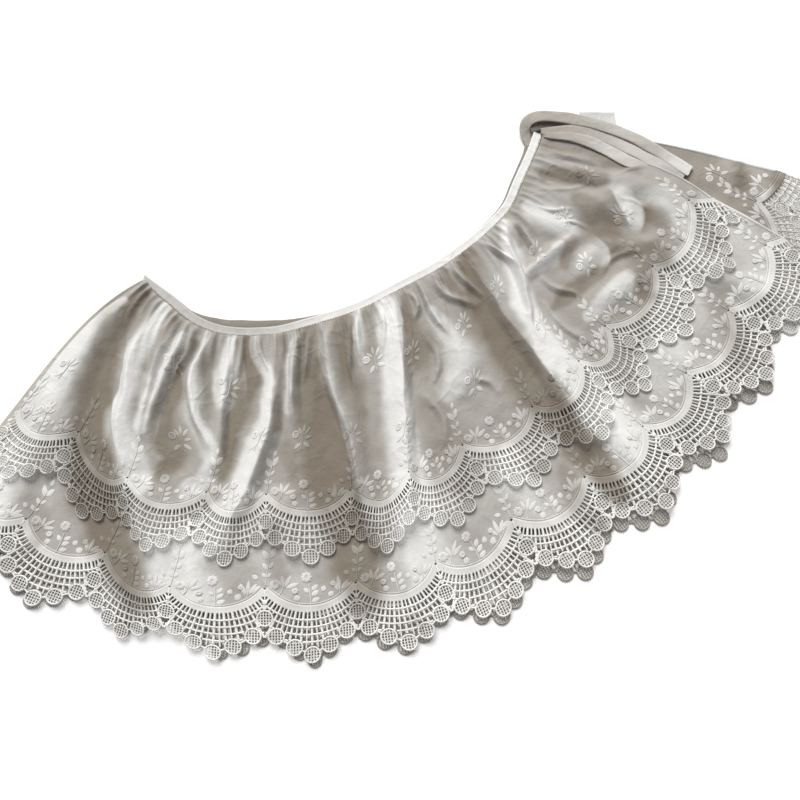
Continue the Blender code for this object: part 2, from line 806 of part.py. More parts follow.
def build():
    for obj in list(bpy.data.objects):
        bpy.data.objects.remove(obj)
    voile = {name: make_material(name + "_cloth", COLOURS["voile"], 0.85) for name in
             ("back_upper", "back_lower", "front_lower", "front_upper")}
    back_upper_tier(voile["back_upper"])
    back_lower_tier(voile["back_lower"])
    front_lower_tier(voile["front_lower"])
    front_upper_tier(voile["front_upper"])
    waistband(make_material("waistband_cloth", COLOURS["band"], 0.8))
    tie("long_tie", LONG_TIE, make_material("long_tie_cloth", COLOURS["tie"], 0.8))
    tie("middle_tie", MIDDLE_TIE, make_material("middle_tie_cloth", COLOURS["tie"], 0.8))
    tie("lower_tie", LOWER_TIE, make_material("lower_tie_cloth", COLOURS["tie"], 0.8))
    tie("knot_wrap", KNOT_WRAP, make_material("knot_wrap_cloth", COLOURS["tie"], 0.8))
    care_label(make_material("care_label_cloth", COLOURS["label"], 0.6))


build()
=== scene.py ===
# Lace-trimmed shirt extender: cloth, lace, embroidery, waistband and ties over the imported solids.
# Tables and sizes are in millimetres, in the plan of the surface it lies on. Metres go to Blender.

import math

import bpy
import numpy as np
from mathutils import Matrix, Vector


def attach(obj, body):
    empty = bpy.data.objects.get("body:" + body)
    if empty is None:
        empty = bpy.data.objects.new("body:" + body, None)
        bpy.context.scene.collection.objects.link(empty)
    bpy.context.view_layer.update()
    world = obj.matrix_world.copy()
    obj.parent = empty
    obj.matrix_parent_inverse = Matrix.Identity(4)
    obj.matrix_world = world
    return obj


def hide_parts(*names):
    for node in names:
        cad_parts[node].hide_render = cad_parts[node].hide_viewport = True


MM = 0.001

# Middle of the laid-out garment, in the plan that the tables use
PLAN_CENTRE = (-0.48, 34.61)

# Camera: height above the surface in degrees, distance and lens
CAMERA_TILT = 75.0
CAMERA_DISTANCE = 750.0
CAMERA_LENS = 36.0

# The floor runs far past the picture, just below the cloth so that the two don't touch
FLOOR_HALF = 40000.0
FLOOR_DROP = 0.4

# Soft key light from beyond the waist, and the fill round it
KEY_FROM = (-0.24, 0.80, 0.92)
KEY_STRENGTH = 3.9
KEY_SOFTNESS = 40.0
FILL_STRENGTH = 0.32

# Heights of the cloth layers
BACK_UPPER_TOP = 0.9
BACK_LOWER_TOP = 2.4
BACK_LACE_TOP = 0.8
FRONT_LOWER_TOP = 4.2
FRONT_UPPER_TOP = 7.3
LOFT = 0.5              # share of a lower fold's height that the upper tier clears it by
FOLD_SHARE = 0.8        # share of the heights in the fold table that the cloth keeps
LOWER_SHARE = 0.7       # the same for the lower tier
FOLD_REACH = 1.8        # how far the turned left side rounds out past its edge
SIDE_TURNS = (1.0, 0.82, 0.64, 0.46, 0.3, 0.15)     # how far round the turn its columns lie
CORNER_LAP = 3.5        # how far the cloth laps the band at the folded corner
CORNER_LAP_LENGTH = 14.0

# Waist seam, from the folded left corner to the open right end
WAIST_SEAM = [
    (-246, 114), (-221, 92), (-195, 72), (-165, 62), (-121, 62), (-92, 69), (-39, 87),
    (0, 108), (37, 129), (63, 148), (88, 170), (110, 195), (123, 224), (138, 258), (146, 280),
]
# How far the back half lies inside the front one: along the waist, offset
BACK_OFFSET = [
    (0, 0.0), (50, 1.0), (80, 6.5), (110, 9.0), (145, 7.5), (175, 3.0), (205, 0.5), (320, 0.5),
    (430, 2.0), (480, 3.0), (510, 8.0),
]
SEAM_GAP = 0.3

# Waistband
BAND_WIDTH = 9.5
BAND_THICK = 2.6
BACK_BAND_MID = 1.4
FRONT_BAND_MID = 4.7
BACK_BAND_SHORT = 15.0
CORNER_SHEAR = 4.0      # how far the band's inner edge runs on past the seam at the folded corner
CORNER_TAPER = 2.7      # how much narrower the band is there
CORNER_LENGTH = 24.0
CORNER_START = -3.0
OPEN_END = 1.0          # how far the band's open end lies inside the seam's end
# Sections along the back run and the front run, and how far round the turn between them lie
BACK_STEPS = 150
FRONT_STEPS = 260
TURN_SHARES = (0.2, 0.4, 0.6, 0.8)
BAND_PAINTED_SHADE = [(0, 0.45), (60, 0.45), (110, 0.95), (260, 1.0)]   # painted shade along the band: step along the front, whiteness
STITCH_STEP = 2.6
STITCH_INSET = 1.5
# One stitch: run along the seam, half-width, height
STITCH_ROWS = [(-0.95, 0.12, 0.0), (-0.55, 0.26, 0.22), (0.55, 0.26, 0.22), (0.95, 0.12, 0.0)]
STITCH_CREST = 0.14

# Scalloped lace edging, one repeat
PITCH = 81.2
ARC_CENTRE = -27.9
GROOVE_RADIUS = 49.2
BAND_RADIUS = 52.6
BAND_REACH = 6.6
NET_TOP_RADIUS = 56.0
NET_ROWS = (62.4, 69.0, 75.6, 82.2)
NET_ROW_END = 72.0      # depth at which the rows across the net stop
SPOKES = 27
SPOKE_STEP = 3.47
SPOKE_SIDE = 40.6       # how far the spokes reach to the side
SPOKE_END = 88.0        # and from the centre of the arcs
RING_RADIUS = 7.7
RING_THREADS = 4        # threads each way in a ring's woven middle
RING_THREAD_STEP = 2.5
BAND_ANGLE = 50.5       # how far round its centre the corded band runs, to each side in degrees
NET_ANGLE = 62.0        # the same for the rows across the net
# Width and height of the lace's threads, radius and height of its dots
THIN_SPOKE = (1.4, 1.0)
THICK_SPOKE = (2.1, 1.0)
NET_ROW = (1.8, 0.9)
NET_DOT = (1.55, 1.5)
RING_CORD = (1.7, 1.3)
RING_UPPER_THREAD = (0.95, 0.55)
RING_LOWER_THREAD = (0.6, 0.45)
RING_BAR = (1.6, 0.9)
BAND_GROOVE = (1.0, 0.35)
SIDE_HEM = (2.4, 0.8)
# Sections of a thread: place across it, share of its height
BAND_PROFILE = [
    (-0.5, 0.0), (-0.44, 0.8), (-0.3, 1.0), (-0.16, 0.6), (0.02, 0.95), (0.18, 0.6), (0.34, 1.1), (0.45, 0.7),
    (0.5, 0.0),
]
THREAD_PROFILE = [(-0.5, 0.0), (-0.28, 0.8), (0.0, 1.0), (0.28, 0.8), (0.5, 0.0)]
SIDE_CLEAR = 0.06       # share of a repeat that the last ring keeps from the side hem
# Rings along one scallop: share of the repeat, depth below the cusp line
RINGS = [(0.12, 47.5), (0.31, 58.0), (0.5, 65.6), (0.69, 58.0), (0.88, 47.5)]
CUSP_RING = (0.0, 31.5)
CUSP_DOT = 17.3

# Whiteness of plain cloth from 0 to 1, before the painted light on its folds and the painted shade in its
# hollows
UPPER_SHADE = 0.42
LOWER_SHADE = 0.56
BACK_SHADE = 0.45
CREST_PAINTED_LIGHT = 0.25 / 11.0    # painted light: whiteness gained for each millimetre that a fold stands up
CREST_PAINTED_START = -0.08     # and the painted shade at its foot
PAINTED_LIGHT_GAIN = 0.84     # share of the missing whiteness that a full stroke of painted light gives
PAINTED_SHADE_LOSS = 0.92      # share of the whiteness that a full stroke of painted shade takes
PAINTED_SHADE_HELD = 0.6       # share of the painted shade that painted light over it holds back
STROKE_WOBBLE = [(4.0, 44.0, 21), (1.5, 14.0, 23)]      # amount, size and seed
STROKE_END = 1.35       # where a stroke has faded out, in half-widths
STROKE_FADE = 0.9       # and over how many half-widths it fades
EDGE_TURN = 1.8         # how wide the step of painted shade across a crisp fold edge is
RIPPLE_WAVES = 7        # crossed waves in the cloth's unevenness
UNDER_SHADE = 0.05      # whiteness of the back half's lace where it lies in shadow
OPEN_LACE = (350, 20, 0.35)     # x past which it lies in the open, over what width, and whiteness gained

LACE_DROP = 1.8         # how far the upper tier's lace sinks towards the tier below
LACE_DROP_START = -10.0     # depth at which it starts to sink
LACE_DROP_REACH = 40.0      # and over what depth it does

# Gathers: distance below the waist seam, height
FINE_GATHERS = [(0, 1.6), (5, 3.2), (14, 2.6), (28, 1.2), (50, 0.4), (80, 0.0)]
BROAD_GATHERS = [(0, 0.0), (14, 1.0), (34, 1.8), (62, 1.2), (95, 0.6), (130, 0.2), (160, 0.0)]
FINE_PITCH = 7.4
BROAD_PITCH = 17.0
GATHERS_FADE = [(330, 1.0), (420, 0.5)]     # distance along the waist, share of the height kept
GATHERS_END = 20.0      # length over which they fade out at the open end

# Lines at the open side, as a point and the direction across them: the front's side edge, the waist
SIDE_LINE = (150, 276, 0.43, 0.903)
WAIST_LINE = (146, 280, -0.158, -0.987)

# Cusps between scallops: scallop, distance along the waist, cusp x, cusp y, way the lace runs
# in degrees, degrees the cloth leaves the waist off square, share of the lace's full depth
FRONT_UPPER = [
    (0, -1, -350, -8, -124, -12, 0.95),
    (1, 5, -293, -29, -114, -8, 0.92),
    (2, 24, -244, -72, -100, 0, 0.80),
    (3, 87, -173, -84, -106, 0, 0.93),
    (4, 158, -120, -86, -88, 0, 0.92),
    (5, 197, -45, -82, -86, 0, 0.92),
    (6, 262, 7, -67, -80, 0, 0.92),
    (7, 304, 55, -41, -60, 0, 0.94),
    (8, 345, 120, -5, -57, 0, 0.96),
    (9, 380, 164, 38, -46, 0, 1.0),
    (10, 405, 191, 73, -33, 0, 1.0),
    (11, 438, 241, 134, -32, 0, 1.0),
    (12, 490, 282, 204, -33, 0, 1.0),
    (12.25, 505, 298, 217, -38, 0, 1.0),
]
FRONT_LOWER = [
    (0, -2, -384, -68, -132, -12, 0.95),
    (1, 4, -332, -108, -118, -8, 0.95),
    (2, 30, -260, -137, -108, 0, 0.92),
    (3, 80, -200, -167, -95, 0, 0.78),
    (4, 135, -118, -168, -88, 0, 0.94),
    (5, 190, -39, -163, -86, 0, 0.91),
    (6, 245, 30, -147, -71, 0, 0.97),
    (7, 300, 97, -109, -62, 0, 1.0),
    (8, 345, 165, -70, -57, 0, 1.0),
    (9, 375, 220, -24, -38, 0, 1.0),
    (10, 405, 263, 26, -30, 0, 1.0),
    (11, 437, 311, 90, -30, 0, 1.0),
    (12, 490, 355, 158, -25, 2, 1.0),
    (12.22, 505, 364, 174, -36, 3, 1.0),
]
BACK_LOWER = [
    (0, -7, -396, -60, -129, -20, 0.95),
    (1, 3, -335, -110, -118, -8, 0.96),
    (2, 30, -262, -137, -108, 0, 0.92),
    (3, 80, -198, -165, -95, 0, 0.76),
    (4, 135, -112, -169, -88, 0, 0.96),
    (5, 190, -42, -168, -86, 0, 0.90),
    (6, 245, 30, -152, -72, 0, 0.94),
    (7, 300, 96, -119, -62, 0, 1.0),
    (8, 345, 165, -80, -58, 0, 1.0),
    (9, 375, 219, -36, -42, 0, 1.0),
    (10, 405, 262, 14, -32, 0, 1.0),
    (11, 437, 310, 79, -29, 0, 1.0),
    (12, 470, 344, 140, -22, 6, 1.0),
    (13, 500, 351, 206, -18, 14, 1.0),
    (13.43, 508, 364, 245, -17, 22, 1.0),
]

# Folds: width to the left and right of the way down, height at start, middle and end, how sharp
# the crest is from 0 to 1, and the crest's points
UPPER_FOLDS = {
    "left_lobe": (44, 23, 2, 12, 8, 0.1, [(-246, 103), (-264, 88), (-280, 72), (-292, 54), (-300, 34),
        (-305, 10), (-310, -12), (-316, -60)]),
    "second_lobe": (12, 24, 3, 14, 7, 0.35, [(-224, 88), (-231, 74), (-243, 58), (-250, 42), (-252, 22),
        (-252, 2), (-257, -18), (-256, -40), (-250, -82)]),
    "second_lobe_back": (12, 8, 2, 12, 2, 0.3, [(-213, 78), (-219, 58), (-226, 40), (-230, 20), (-233, 0),
        (-237, -20), (-240, -44)]),
    "sprig_ridge": (9, 9, 3, 14, 2, 0.4, [(-201, 72), (-205, 58), (-209, 46), (-214, 34), (-219, 20),
        (-222, 4), (-228, -14), (-234, -36)]),
    "sprig_edge": (4, 5, 3, 10, 0, 0.6, [(-198, 72), (-197, 56), (-199, 42), (-207, 28), (-213, 14)]),
    "narrow_ridge": (6, 15, 3, 13, 2, 0.4, [(-175, 62), (-181, 50), (-188, 38), (-193, 27), (-194, 12),
        (-192, 0), (-190, -12), (-186, -24), (-180, -38), (-174, -52)]),
    "forked_ridge": (14, 7, 3, 12, 3, 0.3, [(-157, 58), (-157, 44), (-159, 32), (-161, 18), (-161, 4),
        (-163, -12), (-163, -30), (-163, -48), (-168, -66)]),
    "thin_crest": (4, 4, 3, 9, 0, 0.7, [(-149, 58), (-149, 44), (-150, 30), (-152, 16)]),
    "spur": (5, 5, 3, 8, 0, 0.6, [(-134, 57), (-131, 46), (-127, 36), (-121, 24), (-116, 12)]),
    "sharp_ridge": (26, 12, 3, 15, 6, 0.6, [(-114, 58), (-113, 40), (-113, 20), (-114, 4), (-117, -15),
        (-120, -36), (-126, -55), (-132, -74), (-139, -92), (-150, -112), (-162, -138)]),
    "inner_ridge": (6, 9, 3, 12, 0, 0.4, [(-92, 63), (-98, 52), (-100, 38), (-100, 20), (-100, 2),
        (-98, -14), (-96, -34)]),
    "inner_edge": (4, 5, 2, 6, 0, 0.5, [(-86, 64), (-87, 45), (-88, 28), (-90, 14)]),
    "pleat": (7, 20, 3, 15, 11, 0.4, [(-62, 73), (-68, 58), (-70, 42), (-67, 22), (-61, 2), (-53, -18),
        (-46, -38), (-41, -60), (-36, -85), (-30, -110), (-24, -138)]),
    "pleat_edge": (5, 4, 3, 7, 0, 0.6, [(-47, 80), (-47, 62), (-47, 44), (-46, 26), (-40, 8)]),
    "gather_one": (4, 7, 3, 10, 0, 0.5, [(-40, 86), (-41, 68), (-40, 52), (-36, 34)]),
    "gather_two": (7, 5, 3, 10, 2, 0.4, [(-17, 90), (-15, 74), (-15, 56), (-17, 38)]),
    "middle_ridge": (31, 10, 4, 15, 8, 0.5, [(-5, 96), (-4, 80), (-2, 60), (1, 40), (3, 20), (3, 0),
        (5, -20), (6, -42), (8, -66), (12, -120)]),
    "small_loop": (4, 5, 3, 8, 0, 0.5, [(9, 104), (15, 96), (17, 86), (13, 76)]),
    "slant_one": (5, 8, 3, 10, 3, 0.5, [(20, 112), (24, 100), (28, 88), (34, 76), (42, 66), (52, 56)]),
    "slant_two": (6, 7, 3, 8, 0, 0.5, [(30, 118), (38, 107), (50, 98), (64, 94), (76, 90)]),
    "slant_three": (5, 6, 3, 7, 0, 0.5, [(48, 130), (58, 120), (70, 108), (84, 96)]),
    "soft_lobe": (20, 24, 3, 9, 2, 0.1, [(40, 64), (50, 52), (58, 36), (56, 18), (40, 4)]),
    "great_ridge": (14, 52, 3, 12, 8, 0.2, [(66, 137), (78, 122), (92, 98), (104, 78), (118, 56), (130, 38),
        (142, 16), (152, -4), (160, -24), (170, -46), (184, -70)]),
    "ridge_top": (11, 8, 4, 16, 9, 0.5, [(104, 178), (104, 160), (107, 145), (113, 130), (118, 112),
        (120, 98), (123, 84), (124, 68), (132, 54)]),
    "ridge_fork": (6, 6, 3, 12, 8, 0.5, [(80, 157), (92, 147), (104, 138), (116, 126)]),
    "ridge_arc": (13, 12, 6, 9, 3, 0.3, [(118, 120), (128, 130), (140, 140), (153, 151), (166, 158),
        (176, 163)]),
    "puffed_lobe": (20, 17, 3, 7, 3, 0.1, [(124, 190), (138, 181), (152, 174), (166, 168)]),
    "short_fork": (5, 6, 3, 10, 5, 0.4, [(116, 176), (122, 165), (128, 152), (132, 142)]),
    "flower_lobe": (18, 17, 2, 6, 1, 0.1, [(174, 126), (182, 140), (190, 154)]),
    "low_mound": (22, 26, 2, 7, 2, 0.1, [(176, 90), (194, 100), (210, 110), (226, 122), (238, 140)]),
    "far_ridge": (24, 28, 3, 8, 4, 0.2, [(126, 206), (146, 207), (164, 199), (182, 196), (202, 200),
        (222, 214), (248, 217), (272, 206), (288, 190)]),
    "far_pucker": (7, 7, 2, 5, 0, 0.3, [(130, 214), (150, 213), (170, 214), (190, 222)]),
    "top_ridge": (14, 16, 3, 7, 2, 0.1, [(138, 246), (158, 238), (180, 231), (206, 224), (232, 227),
        (256, 233)]),
    "top_pucker": (8, 8, 2, 5, 0, 0.2, [(140, 256), (160, 252), (184, 248), (206, 240)]),
    "far_blob": (17, 20, 2, 6, 1, 0.1, [(218, 206), (226, 190), (224, 174)]),
    "low_arc": (20, 12, 1, 5, 1, 0.2, [(186, 166), (204, 156), (224, 153), (244, 157), (262, 168)]),
    "creep_one": (5, 6, 2, 6, 1, 0.5, [(134, 196), (150, 190), (166, 192), (180, 186)]),
    "creep_two": (5, 5, 2, 5, 1, 0.5, [(146, 168), (156, 176), (170, 178), (184, 172)]),
    "creep_three": (6, 6, 2, 6, 1, 0.4, [(138, 118), (150, 108), (166, 104), (178, 96)]),
    "creep_four": (6, 6, 1, 6, 1, 0.4, [(196, 128), (206, 140), (222, 146), (240, 148)]),
    "creep_five": (6, 7, 2, 6, 1, 0.4, [(206, 214), (216, 204), (232, 200), (246, 192)]),
    "creep_six": (7, 8, 3, 6, 2, 0.3, [(138, 92), (148, 76), (160, 64), (176, 56)]),
    "creep_seven": (6, 6, 2, 5, 1, 0.4, [(196, 232), (212, 228), (230, 236), (250, 240)]),
    "cross_one": (5, 6, 1, 5, 1, 0.4, [(24, 60), (34, 44), (36, 28), (30, 12)]),
    "cross_two": (5, 6, 1, 5, 1, 0.4, [(60, 26), (72, 18), (84, 14), (92, 4)]),
    "cross_three": (6, 7, 1, 5, 2, 0.3, [(20, 4), (32, -8), (40, -22), (42, -40)]),
    "lace_slope": (20, 24, 2, 6, 2, 0.1, [(240, 214), (262, 196), (272, 170), (262, 146)]),
}
LOWER_FOLDS = {
    "left_ridge": (40, 28, 0, 9, 6, 0.2, [(-352, -40), (-352, -90), (-352, -150)]),
    "left_swell": (24, 54, 0, 12, 7, 0.3, [(-232, -70), (-224, -130), (-214, -200)]),
    "left_pucker": (14, 24, 0, 9, 5, 0.2, [(-196, -110), (-186, -150), (-178, -190)]),
    "middle_swell": (40, 40, 0, 9, 6, 0.2, [(-112, -80), (-104, -130), (-100, -190)]),
    "right_swell": (18, 40, 0, 12, 7, 0.4, [(0, -70), (6, -125), (16, -190)]),
    "right_pucker": (16, 20, 0, 8, 4, 0.3, [(38, -80), (48, -120), (60, -160)]),
    "slope_swell": (22, 38, 0, 10, 6, 0.3, [(78, -40), (100, -95), (122, -150)]),
    "trough_edge": (18, 30, 0, 12, 6, 0.4, [(186, 0), (208, -50), (236, -100)]),
    "far_swell": (26, 28, 0, 9, 5, 0.2, [(240, 60), (286, 20), (330, -15)]),
    "end_swell": (24, 28, 0, 9, 5, 0.2, [(270, 150), (322, 118), (380, 90)]),
}

# Painted shade in the hollows between folds: how far it darkens, then x, y and half-width along it
PAINTED_SHADE_STROKES = [
    (1.0, [(-244, 102, 8), (-266, 80, 14), (-275, 60, 15), (-279, 40, 14), (-283, 20, 15), (-286, 0, 16),
        (-287, -20, 15), (-286, -40, 18), (-280, -60, 24), (-276, -80, 26), (-270, -100, 24),
        (-261, -120, 23), (-250, -140, 22), (-239, -160, 19), (-228, -178, 18)]),
    (0.9, [(-90, 74, 12), (-90, 40, 13), (-88, 20, 14), (-84, 0, 15), (-78, -20, 18), (-72, -40, 20),
        (-70, -60, 24), (-64, -80, 28), (-54, -100, 26), (-46, -120, 24), (-40, -140, 24), (-36, -160, 24),
        (-32, -182, 18)]),
    (0.7, [(-58, 86, 10), (-56, 60, 11), (-52, 40, 11), (-46, 20, 12), (-44, 0, 12), (-41, -20, 13),
        (-40, -40, 13), (-42, -70, 16)]),
    (1.0, [(64, 146, 10), (72, 125, 12), (78, 105, 17), (86, 85, 24), (97, 65, 24), (108, 45, 24),
        (119, 25, 24), (130, 5, 25), (140, -10, 22), (153, -30, 18), (170, -50, 18), (186, -70, 17),
        (197, -88, 13)]),
    (0.8, [(-194, 52, 6), (-206, 20, 9), (-214, 0, 12), (-220, -22, 11), (-214, -42, 12), (-204, -56, 14),
        (-214, -68, 10)]),
    (0.6, [(-176, 66, 5), (-178, 48, 6), (-180, 32, 5), (-178, 10, 5), (-176, -16, 6)]),
    (0.6, [(-210, 76, 5), (-226, 54, 5), (-234, 28, 5)]),
    (0.85, [(-146, 60, 8), (-140, 40, 11), (-138, 20, 14), (-144, 0, 14), (-151, -20, 11), (-156, -44, 10),
        (-162, -70, 9)]),
    (0.8, [(-112, 60, 6), (-112, 30, 6), (-112, 0, 6), (-114, -26, 7)]),
    (0.45, [(-104, -48, 10), (-94, -66, 12), (-84, -84, 14)]),
    (0.5, [(4, 100, 5), (10, 76, 8), (20, 52, 12), (18, 36, 9)]),
    (0.45, [(-30, 92, 5), (-28, 68, 6), (-26, 46, 5)]),
    (0.6, [(40, 126, 5), (50, 112, 7), (62, 98, 9), (72, 84, 10)]),
    (0.35, [(30, -10, 14), (44, -40, 20), (54, -74, 20)]),
    (0.85, [(146, 231, 9), (172, 229, 11), (200, 223, 9)]),
    (0.45, [(148, 262, 8), (176, 258, 9), (206, 250, 9), (236, 238, 8)]),
    (0.8, [(176, 202, 10), (190, 190, 17), (200, 174, 18), (212, 156, 15), (232, 149, 14), (254, 142, 15)]),
    (0.7, [(232, 148, 14), (236, 124, 14), (236, 104, 12)]),
    (0.6, [(170, 158, 6), (162, 146, 9), (158, 134, 7)]),
    (0.75, [(148, 90, 6), (160, 100, 9), (176, 114, 9), (196, 126, 8)]),
    (0.5, [(114, 174, 5), (117, 156, 6)]),
    (0.4, [(244, 190, 9), (262, 172, 10), (270, 150, 10)]),
    (0.5, [(150, -66, 9), (158, -94, 10), (176, -118, 9)]),
    (0.4, [(296, 106, 9), (318, 70, 14), (316, 40, 14)]),
    (0.35, [(-330, -96, 10), (-322, -120, 10), (-330, -140, 8)]),
    (0.5, [(-112, -120, 8), (-112, -146, 9), (-104, -164, 8)]),
    (1.0, [(392, 236, 12), (384, 212, 16), (392, 188, 18), (400, 160, 16)]),
    (0.8, [(346, 250, 5), (344, 236, 7), (340, 222, 7)]),
]
# Painted light on the folds, making the cloth's colour whiter, written the same way
PAINTED_LIGHT_STROKES = [
    (1.0, [(-264, 96, 5), (-292, 70, 12), (-312, 42, 20), (-330, 16, 24), (-344, -6, 27), (-354, -30, 28),
        (-362, -60, 26), (-366, -100, 20)]),
    (0.9, [(-222, 90, 6), (-238, 62, 9), (-250, 40, 11), (-254, 12, 11), (-258, -8, 12), (-260, -26, 14),
        (-250, -46, 14), (-240, -62, 11), (-232, -82, 9)]),
    (0.75, [(-206, 62, 5), (-214, 42, 6), (-223, 20, 6), (-232, -4, 6), (-240, -30, 7)]),
    (0.85, [(-180, 62, 4), (-190, 42, 6), (-196, 24, 9), (-196, 0, 9), (-190, -22, 9), (-180, -42, 9),
        (-170, -58, 9), (-176, -76, 10), (-192, -86, 10)]),
    (0.8, [(-158, 54, 5), (-164, 30, 7), (-166, 10, 9), (-162, -6, 7)]),
    (0.95, [(-138, 56, 5), (-131, 36, 6), (-123, 18, 6), (-121, 0, 6), (-125, -20, 8), (-132, -44, 10),
        (-140, -70, 11), (-150, -96, 13), (-162, -116, 14)]),
    (1.0, [(-170, -126, 18), (-192, -140, 28), (-196, -160, 30), (-184, -180, 26)]),
    (0.7, [(-98, 66, 5), (-102, 40, 6), (-104, 10, 7), (-101, -12, 6)]),
    (0.7, [(-40, 86, 5), (-40, 60, 5), (-37, 38, 5)]),
    (1.0, [(-13, 92, 9), (-9, 60, 12), (-7, 30, 12), (-4, 0, 13), (0, -30, 15), (5, -60, 17), (10, -90, 19),
        (16, -120, 22), (26, -148, 26), (34, -172, 24)]),
    (0.6, [(32, 84, 6), (44, 62, 12), (56, 44, 15), (54, 22, 14), (44, 4, 10)]),
    (1.0, [(105, 174, 8), (110, 142, 10), (114, 112, 12), (120, 82, 12), (132, 56, 13), (150, 34, 16),
        (170, 14, 20), (188, -6, 24), (204, -30, 26), (216, -58, 22)]),
    (0.85, [(128, 192, 12), (146, 184, 16), (164, 172, 13)]),
    (0.7, [(118, 122, 6), (134, 130, 6), (148, 142, 6), (156, 154, 6)]),
    (0.5, [(176, 132, 8), (188, 144, 12), (198, 154, 9)]),
    (0.6, [(222, 204, 10), (230, 192, 11), (231, 180, 8)]),
    (0.8, [(178, 82, 7), (194, 94, 10), (208, 106, 10), (220, 120, 7)]),
    (0.6, [(244, 206, 12), (268, 200, 14), (280, 176, 16), (276, 146, 14)]),
    (0.5, [(240, 20, 22), (256, 60, 24), (286, 120, 24)]),
    (0.55, [(310, 200, 16), (336, 170, 20), (352, 140, 18), (340, 112, 14)]),
    (0.5, [(100, -60, 14), (112, -84, 14), (130, -100, 14)]),
    (0.5, [(330, 252, 8), (360, 238, 10), (366, 216, 9)]),
]

# Painted light and shade at crisp fold edges: change of whiteness on the left and the right of a line, reach,
# points from the top
PAINTED_EDGE_STROKES = [
    (-0.35, 0.32, 9, [(-258.7, 65), (-258, 45), (-259, 17), (-265.5, -3), (-264.8, -21), (-259.3, -41),
        (-249, -63)]),
    (-0.2, 0.2, 7, [(-224.4, 86), (-237.8, 64), (-246, 38), (-248.8, 16)]),
    (-0.4, 0.3, 7, [(-197.7, 30), (-197.8, 17), (-195.8, 1.6), (-191, -15.6), (-181.5, -33.4),
        (-170.4, -51)]),
    (0.2, -0.35, 7, [(-205, 39), (-209.3, 23), (-215, 0), (-222, -29), (-223.4, -46.5)]),
    (0.2, -0.35, 7, [(-149.4, 69), (-148, 59), (-145.8, 35.5), (-141.7, 9), (-142, -5)]),
    (0.25, -0.4, 10, [(-1, 103.7), (1.9, 88.4), (2.8, 65), (2.8, 43), (3.7, 18), (4.6, -5)]),
    (-0.3, 0.15, 9, [(-41, 90.4), (-45, 52), (-44.7, 25.7), (-43.4, 4.4)]),
    (-0.3, 0.15, 9, [(-77.8, 45.3), (-72.6, 25.7), (-59.8, -8), (-47, -54.8), (-39.4, -84)]),
    (-0.45, 0.4, 11, [(58.2, 147.5), (67.6, 133), (84, 106), (100.5, 76), (116.6, 54), (132.4, 29.6),
        (148, 5.4), (159.7, -15.6)]),
    (-0.3, 0.3, 8, [(204, 218), (213.6, 201.4), (221, 184), (229, 166)]),
    (0.3, -0.3, 7, [(236, 204), (241, 190), (240, 178), (234, 166)]),
    (0.3, -0.25, 8, [(188, 166), (202, 152), (204, 138), (196, 124)]),
]

# Ties: x, y, height of the middle, width
LONG_TIE = [
    (132.8, 270, 1.4, 9), (129.5, 277, 2.6, 10), (127.6, 285.5, 5.0, 11), (130.5, 293, 7.6, 12),
    (138.5, 297.2, 8.9, 12.5), (150, 297.8, 9.7, 12.5), (165, 296, 10.2, 12.5), (180, 293, 10.4, 12.5),
    (195, 289.3, 10.4, 12.5), (210, 284.5, 10.2, 12.5), (225, 278.3, 10.2, 12.5), (238, 271.5, 10.4, 12.5),
    (250, 263.7, 10.4, 12.5), (263, 255, 9.8, 12.5), (276, 246.5, 8.4, 12.5), (292, 236, 6.8, 13),
]
MIDDLE_TIE = [
    (143.5, 281.5, 7.4, 7), (151, 281.3, 8.2, 9), (163, 281.6, 8.8, 11), (176, 281.6, 9.2, 12),
    (190, 279.6, 9.2, 12.5), (204, 275.2, 9.0, 12.5), (218, 268.2, 8.8, 12.5), (232, 260.3, 8.8, 13),
    (246, 252.2, 8.8, 13), (260, 244.2, 8.6, 13), (273, 236.8, 7.8, 13), (285, 230.4, 6.4, 11),
]
LOWER_TIE = [
    (146, 276.5, 8.6, 6), (153, 275.4, 9.6, 8), (164, 274.2, 10.6, 9.5), (178, 271.8, 10.8, 11),
    (192, 267.4, 10.4, 12.5), (205, 260.8, 10.0, 13), (217, 253.4, 9.6, 13.5), (228, 247, 9.2, 13.5),
    (239, 241.8, 8.8, 12), (249, 237.6, 8.4, 9),
]
KNOT_WRAP = [
    (133, 285, 4.8, 9), (139, 288, 5.0, 10), (150, 290, 5.2, 10), (166, 288, 5.6, 11), (184, 283, 5.6, 10),
]
TIE_THICK = 1.7
TIE_STEP = 1.5
# Painted light and shade along each tie: whiteness by share of its length
LONG_TIE_PAINTED_SHADE = [(0.0, 0.2), (0.4, 0.25), (0.6, 0.4), (0.8, 0.35), (0.9, 0.9), (1.0, 1.0)]
MIDDLE_TIE_PAINTED_SHADE = [(0.0, 0.1), (0.35, 0.25), (0.6, 0.6), (0.8, 0.6), (1.0, 0.35)]
LOWER_TIE_PAINTED_SHADE = [(0.0, 0.1), (0.35, 0.3), (0.65, 0.75), (0.85, 0.6), (1.0, 0.3)]
KNOT_PAINTED_SHADE = [(0.0, 0.3), (1.0, 0.3)]

# Care label, left blank: its left and right sides, then its rows of y and height
LABEL_SIDES = (185.5, 222.0)
LABEL_GRID = (24, 16)
LABEL_ROWS = [(271.0, 3.3), (277.0, 3.5), (286.0, 3.4), (295.0, 2.3), (302.0, 1.5), (308.0, 1.3)]

